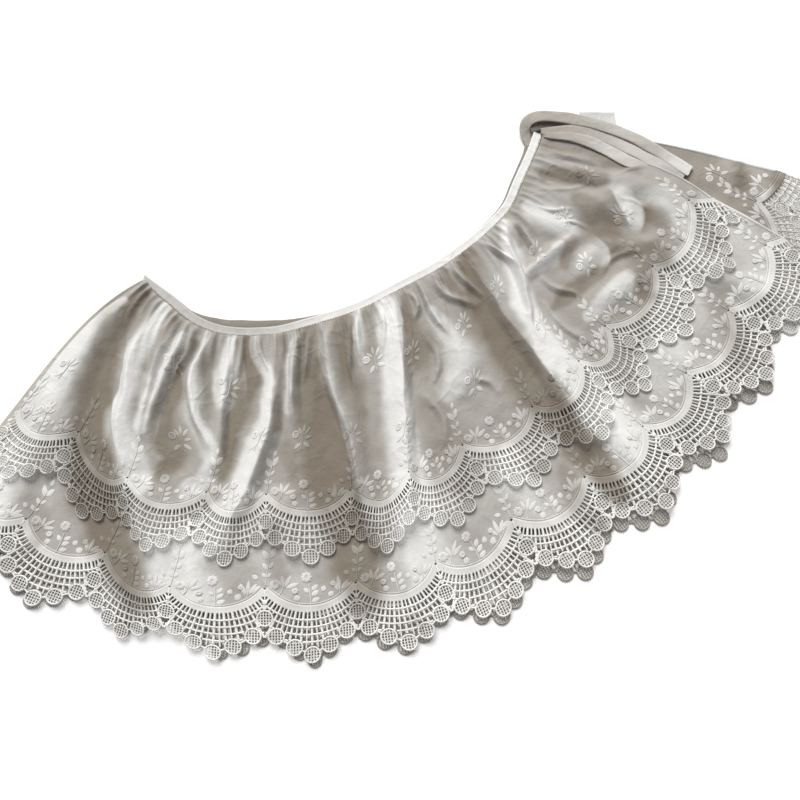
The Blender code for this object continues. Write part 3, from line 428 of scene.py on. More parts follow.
# Embroidery of one scallop, in the flat repeat: x, depth below the cusp line, turn in degrees
# from pointing up, length, width
LEAVES = [
    (16.5, 4.0, -8, 9.0, 2.6), (17.5, 4.0, 35, 11.5, 2.6), (18.5, 5.0, 68, 10.5, 3.0),
    (14.5, 3.0, -42, 6.5, 2.6), (41.0, 8.0, 42, 6.5, 3.2), (41.0, 13.0, 50, 7.0, 3.4),
    (41.0, 18.5, 62, 7.0, 3.4), (38.2, 10.0, -42, 5.5, 2.8), (64.5, 10.0, -28, 10.5, 2.8),
    (66.0, 9.5, -2, 12.5, 2.8), (67.5, 9.5, 34, 10.0, 3.0), (69.0, 8.5, 58, 9.5, 3.0),
    (3.8, -20.0, -34, 9.0, 4.0), (5.2, -21.0, 32, 9.0, 4.0), (2.6, -11.5, -44, 6.5, 3.0),
    (3.6, -12.5, 46, 6.5, 3.0), (1.0, -5.0, -50, 5.0, 2.6), (2.0, -5.0, 52, 5.0, 2.6),
    (5.2, -30.0, 8, 6.0, 3.4), (50.5, 9.5, 20, 5.0, 3.6), (56.0, 14.5, 40, 6.0, 4.2),
    (29.5, 17.0, -30, 5.5, 4.4), (75.0, -4.0, -60, 5.5, 3.0),
]
FLOWERS = [(9.0, 1.5, 4.6), (36.5, -4.0, 4.6), (26.5, 8.0, 3.0), (60.0, 3.0, 2.6)]
STEMS = [
    [(12.6, 11.5), (15.0, 7.5), (16.6, 3.6)],
    [(39.8, 21.0), (39.6, 12.0), (38.4, 1.6)],
    [(64.5, 14.5), (66.0, 11.0), (66.4, 8.5)],
    [(0.6, 2.0), (1.8, -9.0), (4.0, -20.0), (5.2, -31.0)],
    [(29.6, 18.6), (30.5, 21.6)],
]

# Small sprigs over the cloth: scallop, depth, turn in degrees
UPPER_SPRIGS = [
    (0.35, -46, 10), (0.45, -2, -15), (2.62, -112, 5), (2.6, -42, -5), (3.25, -96, 8), (3.8, -46, 12),
    (4.4, -48, 0), (5.1, -44, -12), (5.5, -112, -8), (6.15, -106, 0), (6.0, -36, 10), (7.4, -102, -15),
    (7.45, -44, 8), (8.25, -110, 10), (8.85, -46, 0), (9.9, -96, 20), (10.5, -48, 5), (10.85, -92, 35),
    (11.4, -46, -12), (11.75, -96, 30),
]
LOWER_SPRIGS = [(i + 0.5, -46, 9 * ((i * 7) % 5 - 2)) for i in range(12)]
BACK_SPRIGS = [(12.5, -46, 10), (12.0, -100, -8), (12.95, -96, 0), (13.2, -40, 12), (11.5, -46, -10)]
SPRIG_LEAVES = [
    (0.0, -3.5, 4, 9.0, 3.2), (1.8, -2.0, 38, 9.5, 3.2), (-1.6, -2.0, -34, 8.0, 3.0),
    (2.6, 1.8, 74, 7.5, 3.2), (1.0, 5.5, 122, 9.0, 4.2), (-1.4, 6.0, -132, 9.0, 4.2),
]
LEAF_HEIGHT = 0.55
SPRIG_FLOWER = (-8.2, -2.0, 3.9)
SPRIG_STEM = [(-0.8, 12.0), (0.0, 4.0), (0.0, -4.0)]


# Smooth reading of a table

def curve_shares(u):
    """Shares of the start, the start's slope, the end and the end's slope in a smooth run."""
    return (1 + 2 * u) * (1 - u) ** 2, u * (1 - u) ** 2, u * u * (3 - 2 * u), u * u * (u - 1)


class Smooth:
    """A smooth curve through (key, value) points, straight beyond its ends."""

    def __init__(self, keys, values):
        self.keys = np.array(keys, float)
        self.values = np.array(values, float)
        last = len(self.keys) - 1
        before = np.maximum(np.arange(last + 1) - 1, 0)
        after = np.minimum(np.arange(last + 1) + 1, last)
        self.slopes = (self.values[after] - self.values[before]) / (self.keys[after] - self.keys[before])

    def __call__(self, at):
        at = np.asarray(at, float)
        keys = self.keys
        i = np.clip(np.searchsorted(keys, at, side="right") - 1, 0, len(keys) - 2)
        span = keys[i + 1] - keys[i]
        u = np.clip((at - keys[i]) / span, 0.0, 1.0)
        start, leave, end, arrive = curve_shares(u)
        inside = start * self.values[i] + leave * span * self.slopes[i]
        inside = inside + end * self.values[i + 1] + arrive * span * self.slopes[i + 1]
        under = np.minimum(at - keys[0], 0.0) * self.slopes[0]
        over = np.maximum(at - keys[-1], 0.0) * self.slopes[-1]
        return inside + under + over


def linear(table, at):
    return np.interp(at, [row[0] for row in table], [row[1] for row in table])


def smooth_path(points):
    """A smooth curve through points, read by distance along it."""
    lengths = [0.0]
    for a, b in zip(points, points[1:]):
        lengths.append(lengths[-1] + math.dist(a, b))
    return [Smooth(lengths, [p[axis] for p in points]) for axis in range(len(points[0]))], lengths[-1]


WAIST_CURVE, WAIST_LENGTH = smooth_path(WAIST_SEAM)


def waist_point(along):
    return WAIST_CURVE[0](along), WAIST_CURVE[1](along)


def waist_outward(along):
    """Unit direction from the waist into the cloth."""
    x0, y0 = waist_point(along - 2.0)
    x1, y1 = waist_point(along + 2.0)
    length = np.hypot(x1 - x0, y1 - y0)
    return (y1 - y0) / length, -(x1 - x0) / length


# Folds

def crest_reading(points, x, y):
    """Nearest place on a smoothed crest line: share along it, distance, and side."""
    curves, length = smooth_path(points)
    steps = np.linspace(0.0, length, 3 * len(points) + 1)
    px = curves[0](steps)
    py = curves[1](steps)
    share = np.zeros_like(x)
    far = np.full_like(x, 1e9)
    side = np.zeros_like(x)
    for k in range(len(steps) - 1):
        dx = px[k + 1] - px[k]
        dy = py[k + 1] - py[k]
        size = dx * dx + dy * dy
        u = np.clip(((x - px[k]) * dx + (y - py[k]) * dy) / size, 0.0, 1.0)
        away = np.hypot(x - px[k] - u * dx, y - py[k] - u * dy)
        nearer = away < far
        far = np.where(nearer, away, far)
        share = np.where(nearer, (k + u) / (len(steps) - 1), share)
        side = np.where(nearer, dx * (y - py[k]) - dy * (x - px[k]), side)
    return share, far, side


def folds_height(folds, x, y):
    """Height of a set of folds, joined so that none adds to another."""
    total = np.zeros_like(x)
    for left, right, start, middle, end, sharp, points in folds.values():
        share, far, side = crest_reading(points, x, y)
        d = np.clip(far / np.where(side > 0, right, left), 0.0, 1.0)
        rounded = (1 - d) ** 2 * (1 + 2 * d)
        pointed = (1 - d) ** 1.6
        profile = rounded * (1 - sharp) + pointed * sharp
        swell = np.sin(math.pi * share)
        height = np.where(share < 0.5, start + (middle - start) * swell, end + (middle - end) * swell)
        total += (height * profile) ** 4
    return total ** 0.25


def strongest(table, x, y):
    """Strongest of a set of soft strokes at each place, from 0 to 1."""
    best = np.zeros_like(x)
    for amount, points in table:
        share, far, _ = crest_reading([(px, py) for px, py, _ in points], x, y)
        width = np.interp(share, np.linspace(0.0, 1.0, len(points)), [w for _, _, w in points])
        d = np.clip((STROKE_END - far / width) / STROKE_FADE, 0.0, 1.0)
        best = np.maximum(best, amount * d * d * (3 - 2 * d))
    return best


def painted_edge_shade(x, y):
    """Painted light and shade beside the crisp fold edges, as a change of whiteness."""
    change = np.zeros_like(x)
    for left, right, reach, points in PAINTED_EDGE_STROKES:
        share, far, side = crest_reading(points, x, y)
        step = np.clip(0.5 + far * np.sign(side) / EDGE_TURN, 0.0, 1.0)
        ends = np.clip(4.0 * np.minimum(share, 1 - share), 0.0, 1.0)
        change = change + np.exp(-far / reach) * ends * (left + (right - left) * step)
    return change


def whiteness_with_painted_shade(x, y, plain):
    """How white the cloth's colour is: its plain level with random unevenness, painted shade in the hollows
    and painted light on the folds.
    """
    wx = x + sum(amount * ripple(x, y, size, seed) for amount, size, seed in STROKE_WOBBLE)
    wy = y + sum(amount * ripple(x, y, size, seed + 1) for amount, size, seed in STROKE_WOBBLE)
    painted_dark = strongest(PAINTED_SHADE_STROKES, wx, wy)
    painted_pale = strongest(PAINTED_LIGHT_STROKES, wx, wy)
    level = plain + 0.1 * ripple(x, y, 30.0, 25)
    level = level + (1 - level) * PAINTED_LIGHT_GAIN * painted_pale
    level = level * (1 - PAINTED_SHADE_LOSS * painted_dark * (1 - PAINTED_SHADE_HELD * painted_pale))
    return np.clip(level + painted_edge_shade(x + 1.2 * ripple(x, y, 18.0, 26), y), 0.0, 1.0)


def ripple(x, y, size, seed):
    """Gentle unevenness of the cloth, from a few crossed waves."""
    rng = np.random.default_rng(seed)
    total = np.zeros_like(x)
    for _ in range(RIPPLE_WAVES):
        angle = rng.uniform(0, 2 * math.pi)
        wave = rng.uniform(0.7, 1.5) * size
        phase = rng.uniform(0, 2 * math.pi)
        total += np.sin((x * math.cos(angle) + y * math.sin(angle)) * 2 * math.pi / wave + phase)
    return total / RIPPLE_WAVES


def gathers(along, down):
    """Height of the gathers under the waist seam."""
    turn = along / FINE_PITCH + 0.32 * np.sin(along / 21.0) + 0.2 * np.sin(along / 8.7 + 1.0)
    fine = (0.5 - 0.5 * np.cos(2 * math.pi * turn)) ** 1.3
    fine = fine * (0.75 + 0.3 * np.sin(along * 0.31) + 0.2 * np.sin(along * 0.083 + 1.0))
    turn = along / BROAD_PITCH + 0.3 * np.sin(along / 33.0 + 2.0) + 0.0025 * down * np.sin(along / 15.0)
    broad = (0.5 - 0.5 * np.cos(2 * math.pi * turn)) ** 1.5
    broad = broad * (0.8 + 0.35 * np.sin(along / 27.0 + 0.6))
    kept = np.clip((WAIST_LENGTH - along) / GATHERS_END, 0.0, 1.0) * linear(GATHERS_FADE, along)
    return (linear(FINE_GATHERS, down) * fine + linear(BROAD_GATHERS, down) * broad) * kept


# Cloth coordinates: scallops along the hem, distance down from the cusp line

class Tier:
    """Where a tier's cloth lies, and how high."""

    def __init__(self, rows, top, plain, inward=False, folds=None, gathered=False, drop=0.0):
        keys = [row[0] for row in rows]
        self.last = keys[-1]
        columns = [Smooth(keys, [row[i] for row in rows]) for i in range(1, 7)]
        self.along, self.cusp_x, self.cusp_y, self.lean, self.fan, self.lace = columns
        self.top = top
        self.plain = plain
        self.drop = drop
        self.inward = inward
        self.folds = folds
        self.gathered = gathered

    def waist(self, scallop):
        along = self.along(scallop)
        nx, ny = waist_outward(along)
        wx, wy = waist_point(along)
        push = SEAM_GAP - (linear(BACK_OFFSET, along) if self.inward else 0.0)
        push = push - CORNER_LAP * np.clip(1.0 - along / CORNER_LAP_LENGTH, 0.0, 1.0)
        return wx + nx * push, wy + ny * push, nx, ny

    def length(self, scallop):
        wx, wy, _, _ = self.waist(scallop)
        return np.hypot(self.cusp_x(scallop) - wx, self.cusp_y(scallop) - wy)

    def plan(self, scallop, depth):
        """Plan point at a depth below the cusp line (above it where negative)."""
        wx, wy, nx, ny = self.waist(scallop)
        fan = np.radians(self.fan(scallop))
        nx, ny = nx * np.cos(fan) - ny * np.sin(fan), nx * np.sin(fan) + ny * np.cos(fan)
        cx = self.cusp_x(scallop)
        cy = self.cusp_y(scallop)
        lean = np.radians(self.lean(scallop))
        lx, ly = np.cos(lean), np.sin(lean)
        length = np.hypot(cx - wx, cy - wy)
        reach = np.maximum(depth, 0.0) * self.lace(scallop)
        u = np.clip(1.0 + depth / length, 0.0, 1.0)
        start, leave, end, arrive = curve_shares(u)
        leave = leave * length
        arrive = arrive * length
        x = start * wx + leave * nx + end * cx + arrive * lx + lx * reach
        y = start * wy + leave * ny + end * cy + arrive * ly + ly * reach
        return x, y

    def axes(self, scallop, depth):
        """Directions across and down the cloth, never longer than it really is."""
        ds, dt = 0.02, 1.0
        x0, y0 = self.plan(scallop - ds, depth)
        x1, y1 = self.plan(scallop + ds, depth)
        ax, ay = (x1 - x0) / (2 * ds * PITCH), (y1 - y0) / (2 * ds * PITCH)
        x0, y0 = self.plan(scallop, depth - dt)
        x1, y1 = self.plan(scallop, depth + dt)
        bx, by = (x1 - x0) / (2 * dt), (y1 - y0) / (2 * dt)
        across = np.hypot(ax, ay)
        keep = np.clip(across, 0.8, 1.0) / np.maximum(across, 0.05)
        down = np.hypot(bx, by)
        hold = np.clip(down, 0.0, 1.0) / np.maximum(down, 0.05)
        return ax * keep, ay * keep, bx * hold, by * hold, np.clip(across, 0.05, None)

    def height(self, x, y, scallop, depth):
        z = np.full_like(x, self.top)
        if self.folds:
            z = z + self.folds(x, y)
        if self.gathered:
            z = z + gathers(self.along(scallop), depth + self.length(scallop))
        return z - self.drop * np.clip((depth - LACE_DROP_START) / LACE_DROP_REACH, 0.0, 1.0)


def lower_folds(x, y):
    return LOWER_SHARE * folds_height(LOWER_FOLDS, x, y)


def lower_form(x, y):
    return lower_folds(x, y) + 0.35 * (1 + ripple(x, y, 34.0, 11)) + 0.2 * (1 + ripple(x, y, 15.0, 4))


def across_line(x, y, line):
    """Distance from a line on the side its direction points to."""
    px, py, dx, dy = line
    return (x - px) * dx + (y - py) * dy


def back_form(x, y):
    """The back half's cloth, rippled only past the side edge of the front."""
    beyond = np.clip((across_line(x, y, SIDE_LINE) - 4.0) / 16.0, 0.0, 1.0)
    swell = beyond * np.clip(across_line(x, y, WAIST_LINE) / 14.0, 0.0, 1.0)
    return swell * (1.1 * (1 + ripple(x, y, 40.0, 31)) + 0.6 * (1 + ripple(x, y, 16.0, 32)))


def upper_form(x, y):
    lower = lower_folds(x, y) * (1 + LOFT)
    crumple = 0.6 * (1 + ripple(x, y, 38.0, 5)) + 0.45 * (1 + ripple(x, y, 17.0, 8))
    return lower + FOLD_SHARE * folds_height(UPPER_FOLDS, x, y) + crumple


def on_lower_tier(x, y):
    return FRONT_LOWER_TOP + lower_form(x, y) + 0.3


def on_back_tier(x, y):
    return np.full_like(x, BACK_LOWER_TOP + 0.25)


def arc_depth(scallop, radius):
    """Depth below the cusp line of an arc of the lace."""
    across = (scallop - np.floor(scallop) - 0.5) * PITCH
    return ARC_CENTRE + np.sqrt(np.maximum(radius * radius - across * across, 0.0))


# Meshes

def new_mesh(name, points, faces, material, uvs=None, rise=None):
    """An object of plan millimetres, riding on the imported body."""
    mesh = bpy.data.meshes.new(name)
    places = (np.asarray(points, float) - (*PLAN_CENTRE, 0.0)) * MM
    mesh.from_pydata(places.tolist(), [], faces)
    if uvs is not None:
        layer = mesh.uv_layers.new(name="cloth")
        corner = np.zeros(len(mesh.loops), dtype=np.int32)
        mesh.loops.foreach_get("vertex_index", corner)
        layer.data.foreach_set("uv", np.asarray(uvs, float)[corner].ravel())
    if rise is not None:
        layer = mesh.attributes.new("rise", "FLOAT", "POINT")
        layer.data.foreach_set("value", np.asarray(rise, float))
    mesh.materials.append(material)
    mesh.shade_smooth()
    obj = bpy.data.objects.new(name, mesh)
    bpy.context.collection.objects.link(obj)
    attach(obj, "root")
    return obj


def grid_faces(rows, columns, round_rows=False, round_columns=False):
    """Quads of a grid of points, facing up for rows that run down and columns to the right."""
    row = np.arange(rows if round_rows else rows - 1)[:, None]
    column = np.arange(columns if round_columns else columns - 1)[None, :]
    start = row * columns
    below = (row + 1) % rows * columns
    after = (column + 1) % columns
    corners = (start + column, below + column, below + after, start + after)
    return np.stack([corner.ravel() for corner in corners], axis=1)


def turned_side(x, y, z, low):
    """Columns that take the folded left side round and down to the layer beneath."""
    run = np.hypot(x[:, 1] - x[:, 0], y[:, 1] - y[:, 0])
    out_x, out_y = (x[:, 0] - x[:, 1]) / run, (y[:, 0] - y[:, 1]) / run
    drop = np.maximum(z[:, 0] - low, 0.2)
    added = []
    for turn in SIDE_TURNS:
        reach = np.minimum(drop / 2, FOLD_REACH) * math.sin(math.pi * turn)
        fall = drop * (1 - math.cos(math.pi * turn)) / 2
        added.append((x[:, 0] + out_x * reach, y[:, 0] + out_y * reach, z[:, 0] - fall))
    return [np.stack([column[axis] for column in added], axis=1) for axis in range(3)]


def cloth(name, tier, columns, rows, material, radius=51.0, below=None):
    """A tier's cloth, from the waist seam to under the corded band."""
    count = int(tier.last * columns)
    s = np.linspace(0.0, tier.last, count)
    share = np.linspace(0.0, 1.0, rows)
    scallop, u = np.meshgrid(s, share)
    length = tier.length(scallop)
    depth = u * (length + arc_depth(scallop, radius)) - length
    x, y = tier.plan(scallop, depth)
    z = tier.height(x, y, scallop, depth)
    if below is not None:
        grid = zip((x, y, z), turned_side(x, y, z, below(x[:, 0], y[:, 0])))
        x, y, z = (np.hstack([added, main]) for main, added in grid)
        extra = x.shape[1] - count
        scallop = np.hstack([np.tile(np.arange(-extra, 0) * 0.02, (rows, 1)), scallop])
        depth = np.hstack([np.repeat(depth[:, :1], extra, axis=1), depth])
        count += extra
    x, y, z = x.ravel(), y.ravel(), z.ravel()
    points = np.stack([x, y, z], axis=1)
    uvs = np.stack([scallop.ravel() * PITCH, depth.ravel()], axis=1) * MM
    # Painted light and shade in the cloth's colour: strokes, fold edges and height above the tier
    rise = np.clip(whiteness_with_painted_shade(x, y, tier.plain) + CREST_PAINTED_LIGHT * (z - tier.top) + CREST_PAINTED_START, 0.0, 1.0)
    return new_mesh(name, points, grid_faces(rows, count).tolist(), material, uvs, rise)


def spots_at(anchor, across, down, up):
    """Rows of scallop, depth, offsets across and down from there, and height above the cloth."""
    spots = np.zeros((up.size, 5))
    spots[:, 0] = anchor[0] / PITCH
    spots[:, 1] = anchor[1]
    spots[:, 2] = across.ravel()
    spots[:, 3] = down.ravel()
    spots[:, 4] = up.ravel()
    return spots


class Trim:
    """Threads, rings and stitches on a tier's cloth, gathered into one mesh."""

    def __init__(self):
        self.spots = []
        self.uvs = []
        self.quads = []
        self.count = 0

    def add(self, spots, quads, uvs):
        self.spots.append(np.asarray(spots, float))
        self.uvs.append(np.asarray(uvs, float))
        self.quads.append(np.asarray(quads, int) + self.count)
        self.count += len(spots)

    def ribbon(self, points, width, height, anchor=None, closed=False, lift=0.0, profile=THREAD_PROFILE):
        """A raised thread through flat points; with an anchor they are offsets from it."""
        points = np.asarray(points, float)
        count = len(points)
        if closed:
            ahead = np.roll(points, -1, axis=0)
            behind = np.roll(points, 1, axis=0)
        else:
            ahead = np.vstack([points[1:], points[-1:]])
            behind = np.vstack([points[:1], points[:-1]])
        run = ahead - behind
        run /= np.maximum(np.hypot(run[:, 0], run[:, 1]), 1e-6)[:, None]
        side = np.stack([-run[:, 1], run[:, 0]], axis=1)
        profile = np.array(profile)
        width = np.broadcast_to(np.asarray(width, float), (count,))
        flat = points[:, None, :] + side[:, None, :] * (profile[None, :, 0] * width[:, None])[:, :, None]
        up = np.broadcast_to(profile[None, :, 1] * height + lift, flat.shape[:2])
        x, y = flat[:, :, 0], flat[:, :, 1]
        if anchor is None:
            still = np.zeros(x.shape)
            spots = spots_at((x.ravel(), y.ravel()), still, still, up)
        else:
            spots = spots_at(anchor, x, y, up)
        steps = np.hypot(*(points - np.vstack([points[:1], points[:-1]])).T)
        along = np.repeat(np.cumsum(steps), len(profile))
        uvs = np.stack([along, np.tile(profile[:, 0], count) * 2.0], axis=1) * MM
        self.add(spots, grid_faces(count, len(profile), closed)[:, [0, 3, 2, 1]], uvs)

    def circle(self, anchor, radius, width, height, corners=28, lift=0.0):
        turn = np.linspace(0, 2 * math.pi, corners, endpoint=False)
        points = np.stack([radius * np.sin(turn), radius * np.cos(turn)], axis=1)
        self.ribbon(points, width, height, anchor, True, lift)

    def dome(self, anchor, radius, height, corners=12, dip=0.0, petals=0):
        """A filled round stitch, with a hollow middle or petals if asked."""
        shares = np.array([0.03, 0.3, 0.62, 0.86, 1.0])
        rise = np.array([1.0 - dip, 1.0 - dip * 0.5, 1.0, 0.75, 0.0]) * height
        turn = np.linspace(0, 2 * math.pi, corners, endpoint=False)
        wave = np.cos(petals * turn) if petals else np.zeros(corners)
        r = shares[:, None] * radius * (1.0 + 0.12 * wave)[None, :]
        up = rise[:, None] * (1.0 + 0.25 * wave[None, :] * shares[:, None])
        spots = spots_at(anchor, r * np.sin(turn)[None, :], -r * np.cos(turn)[None, :], up)
        around, outward = np.tile(turn, len(shares)), np.repeat(shares, corners)
        uvs = np.stack([around * radius, outward * radius], axis=1) * MM
        self.add(spots, grid_faces(len(shares), corners, round_columns=True), uvs)

    def leaf(self, anchor, x, down, turn, length, width):
        """A satin-stitch leaf with a cleft along its middle."""
        stations = np.linspace(0.0, 1.0, 9)
        half = width / 2 * np.sin(math.pi * stations ** 0.85) ** 0.75 + 0.05
        profile = np.array([-1.0, -0.6, -0.08, 0.08, 0.6, 1.0])
        rise = np.array([0.0, 1.0, 0.55, 0.55, 1.0, 0.0]) * LEAF_HEIGHT
        c, s = math.cos(math.radians(turn)), math.sin(math.radians(turn))
        a = np.repeat(stations * length, len(profile))
        b = (half[:, None] * profile[None, :]).ravel()
        swell = np.clip(half / (width / 2), 0.15, 1.0)
        spots = spots_at(anchor, x + a * s + b * c, down - a * c + b * s, swell[:, None] * rise[None, :])
        self.add(spots, grid_faces(len(stations), len(profile))[:, ::-1], np.stack([a, b], axis=1) * MM)

    def build(self, name, tier, lift, material, hidden=False):
        spots = np.concatenate(self.spots)
        s, t, a, d, h = spots.T
        x, y = tier.plan(s, t)
        ax, ay, bx, by, squeeze = tier.axes(s, t)
        x = x + ax * a + bx * d
        y = y + ay * a + by * d
        wide = np.clip(squeeze, 0.8, 1.0) / squeeze
        z = tier.height(x, y, s + a * wide / PITCH, t + d) + lift + h
        if hidden:
            start, width, gain = OPEN_LACE
            rise = UNDER_SHADE + gain * np.clip((x - start) / width, 0.0, 1.0)
        else:
            # Painted light and shade on the threads, the same as on the cloth below
            rise = whiteness_with_painted_shade(x, y, tier.plain)
        faces = np.concatenate(self.quads).tolist()
        return new_mesh(name, np.stack([x, y, z], axis=1), faces, material, np.concatenate(self.uvs), rise)


# Lace

def ring_places(number, last):
    """Centres of the rings of one scallop, with its left cusp's ring."""
    out = [(number * PITCH + CUSP_RING[0], CUSP_RING[1])]
    out += [((number + share) * PITCH, depth) for share, depth in RINGS]
    return [p for p in out if p[0] / PITCH < last - SIDE_CLEAR]


def arc_points(middle, radius, angle):
    """Flat points round the centre of a scallop's arcs."""
    return np.stack([middle + radius * np.sin(angle), ARC_CENTRE + radius * np.cos(angle)], axis=1)


def clear_runs(points, centres, radius):
    """Splits a line of flat points where it passes under a ring."""
    points = np.asarray(points, float)
    keep = np.ones(len(points), bool)
    for cx, cy in centres:
        keep &= np.hypot(points[:, 0] - cx, points[:, 1] - cy) > radius
    runs = []
    start = None
    for i, flag in enumerate(keep):
        if flag and start is None:
            start = i
        if not flag and start is not None:
            runs.append(points[start:i])
            start = None
    if start is not None:
        runs.append(points[start:])
    return [run for run in runs if len(run) > 1]


def net(trim, left, limit, centres):
    """Spokes and cross rows of one scallop's net, with a dot where some of them meet."""
    middle = left + PITCH / 2
    end = min(left + PITCH, limit)
    for k in range(SPOKES):
        thick = k % 2 == 1
        angle = math.radians((k - (SPOKES - 1) / 2) * SPOKE_STEP)
        reach = min(SPOKE_SIDE / max(abs(math.sin(angle)), 0.01), SPOKE_END)
        line = arc_points(middle, np.arange(NET_TOP_RADIUS - 1.0, reach, 1.2), angle)
        runs = clear_runs(line[line[:, 0] < limit], centres, RING_RADIUS - 0.4)
        if runs:
            trim.ribbon(runs[0], *(THICK_SPOKE if thick else THIN_SPOKE))
        for radius in NET_ROWS[:3]:
            x = middle + radius * math.sin(angle)
            depth = ARC_CENTRE + radius * math.cos(angle)
            under = any(math.hypot(x - cx, depth - cy) < RING_RADIUS + 0.4 for cx, cy in centres)
            if thick and not under and left < x < end:
                trim.dome((x, depth), *NET_DOT, 6)
    for radius in NET_ROWS:
        line = arc_points(middle, radius, np.radians(np.arange(-NET_ANGLE, NET_ANGLE + 0.1, 1.1)))
        line = line[(line[:, 0] > left) & (line[:, 0] < end)]
        for run in clear_runs(line, centres, RING_RADIUS - 0.4):
            above = run[run[:, 1] < NET_ROW_END]
            if len(above) > 1:
                trim.ribbon(above, *NET_ROW)


def ring(trim, anchor):
    """A corded ring with a woven middle."""
    trim.circle(anchor, RING_RADIUS - RING_CORD[0] / 2, *RING_CORD)
    inside = RING_RADIUS - 1.4
    for k in range(RING_THREADS):
        offset = (k - (RING_THREADS - 1) / 2) * RING_THREAD_STEP
        half = math.sqrt(inside ** 2 - offset ** 2)
        trim.ribbon([(offset, -half), (offset, 0), (offset, half)], *RING_UPPER_THREAD, anchor, lift=0.1)
        trim.ribbon([(-half, offset), (0, offset), (half, offset)], *RING_LOWER_THREAD, anchor)


def bars(trim, centres):
    """Short bars between neighbouring rings."""
    joined = sorted(centres)
    for (x0, y0), (x1, y1) in zip(joined, joined[1:]):
        gap = math.hypot(x1 - x0, y1 - y0)
        ux, uy = (x1 - x0) / gap, (y1 - y0) / gap
        a = (x0 + ux * (RING_RADIUS - 0.8), y0 + uy * (RING_RADIUS - 0.8))
        b = (x1 - ux * (RING_RADIUS - 0.8), y1 - uy * (RING_RADIUS - 0.8))
        trim.ribbon([a, ((a[0] + b[0]) / 2, (a[1] + b[1]) / 2), b], *RING_BAR)


def lace_edging(trim, cord, tier):
    """Corded band, net, rings and dots along a tier."""
    limit = tier.last * PITCH
    for number in range(math.ceil(tier.last)):
        left = number * PITCH
        centres = ring_places(number, tier.last)
        if number + 1 < tier.last - SIDE_CLEAR:
            centres.append((left + PITCH, CUSP_RING[1]))
        angles = np.radians(np.arange(-BAND_ANGLE, BAND_ANGLE + 0.1, 1.6))
        arc = arc_points(left + PITCH / 2, BAND_RADIUS, angles)
        arc = arc[arc[:, 0] < limit]
        if len(arc) > 2:
            cord.ribbon(arc, BAND_REACH, 0.8, profile=BAND_PROFILE)
            inner = arc_points(left + PITCH / 2, GROOVE_RADIUS - 1.2, angles)
            cord.ribbon(inner[inner[:, 0] < limit], *BAND_GROOVE)
        net(trim, left, limit, centres)
        for anchor in ring_places(number, tier.last):
            ring(trim, anchor)
        bars(trim, centres)
        trim.ribbon([(left, 6.0), (left, 11.0), (left, 17.0)], [2.4, 1.5, 1.2], 1.2)
        trim.dome((left, CUSP_DOT), 2.4, 1.6)
        trim.ribbon([(left, 18.5), (left, 24.4)], 1.3, 0.9)


def scallop_motifs(trim, tier, first):
    """The sprays of leaves and flowers above each scallop."""
    rng = np.random.default_rng(3)
    limit = tier.last * PITCH
    for number in range(first, math.ceil(tier.last)):
        left = number * PITCH
        for x, depth, turn, length, width in LEAVES:
            if left + x > limit - 6:
                continue
            sway = rng.uniform(-5, 5)
            grow = rng.uniform(1.02, 1.2)
            trim.leaf((left + x, depth), 0.0, 0.0, turn + sway, length * grow, width * grow * 1.2)
        for x, depth, radius in FLOWERS:
            if left + x < limit - 6:
                trim.dome((left + x, depth), radius, 0.9, 24, dip=0.55, petals=8)
                trim.circle((left + x, depth), radius * 0.42, 0.9, 0.5, 12, lift=0.4)
        for stem in STEMS:
            placed = [(left + x, depth) for x, depth in stem]
            if placed[0][0] < limit - 4:
                trim.ribbon(placed, 1.0, 0.6)


def side_hem(trim, tier):
    """The narrow rolled hem down the open right side."""
    edge = tier.last * PITCH - 1.2
    length = float(tier.length(tier.last))
    points = [(edge, depth) for depth in np.linspace(4.0 - length, 16.0, 60)]
    trim.ribbon(points, *SIDE_HEM)


def field_sprigs(trim, sprigs):
    """Small sprigs scattered over the cloth."""
    for scallop, depth, turn in sprigs:
        anchor = (scallop * PITCH, depth)
        c, s = math.cos(math.radians(turn)), math.sin(math.radians(turn))
        for x, down, lean, length, width in SPRIG_LEAVES:
            trim.leaf(anchor, x * c - down * s, x * s + down * c, lean + turn, length, width)
        x, down, radius = SPRIG_FLOWER
        px, py = x * c - down * s, x * s + down * c
        around = np.linspace(0, 2 * math.pi, 16, endpoint=False)
        ring = [(px + radius * 0.68 * math.sin(a), py + radius * 0.68 * math.cos(a)) for a in around]
        trim.ribbon(ring, radius * 0.64, 0.6, anchor, True)
        middle = [(px - radius * 0.3, py), (px, py), (px + radius * 0.3, py)]
        trim.ribbon(middle, radius * 0.6, 0.45, anchor)
        trim.ribbon([(a * c - b * s, a * s + b * c) for a, b in SPRIG_STEM], 0.9, 0.6, anchor)


# Waistband and ties

def swept(name, sections, material, uvs=None, rise=None):
    """A closed body through rings of points."""
    count = len(sections[0])
    points = np.array([p for section in sections for p in section])
    last = (len(sections) - 1) * count
    faces = grid_faces(len(sections), count, round_columns=True).tolist()
    for i in range(1, count - 1):
        faces.append((0, i, i + 1))
        faces.append((last, last + i + 1, last + i))
    return new_mesh(name, points, faces, material, uvs, rise)


def strip_profile(width, thick):
    """Section of a flat turned strip, counter-clockwise from its upper left."""
    half = width / 2
    r = thick / 2
    out = []
    for middle, start in ((r - half, math.pi / 2), (half - r, -math.pi / 2)):
        for i in range(5):
            angle = start + math.pi * i / 4
            out.append((middle + r * math.cos(angle), r * math.sin(angle)))
    return out + [(half * 0.55, r * 0.9), (0.0, r * 0.8), (-half * 0.55, r * 0.9)]


def seam_frame(along):
    """Point on the waist seam, direction into the cloth, and direction along the seam."""
    wx, wy = (float(v) for v in waist_point(along))
    ox, oy = (float(v) for v in waist_outward(along))
    return wx, wy, ox, oy, -oy, ox


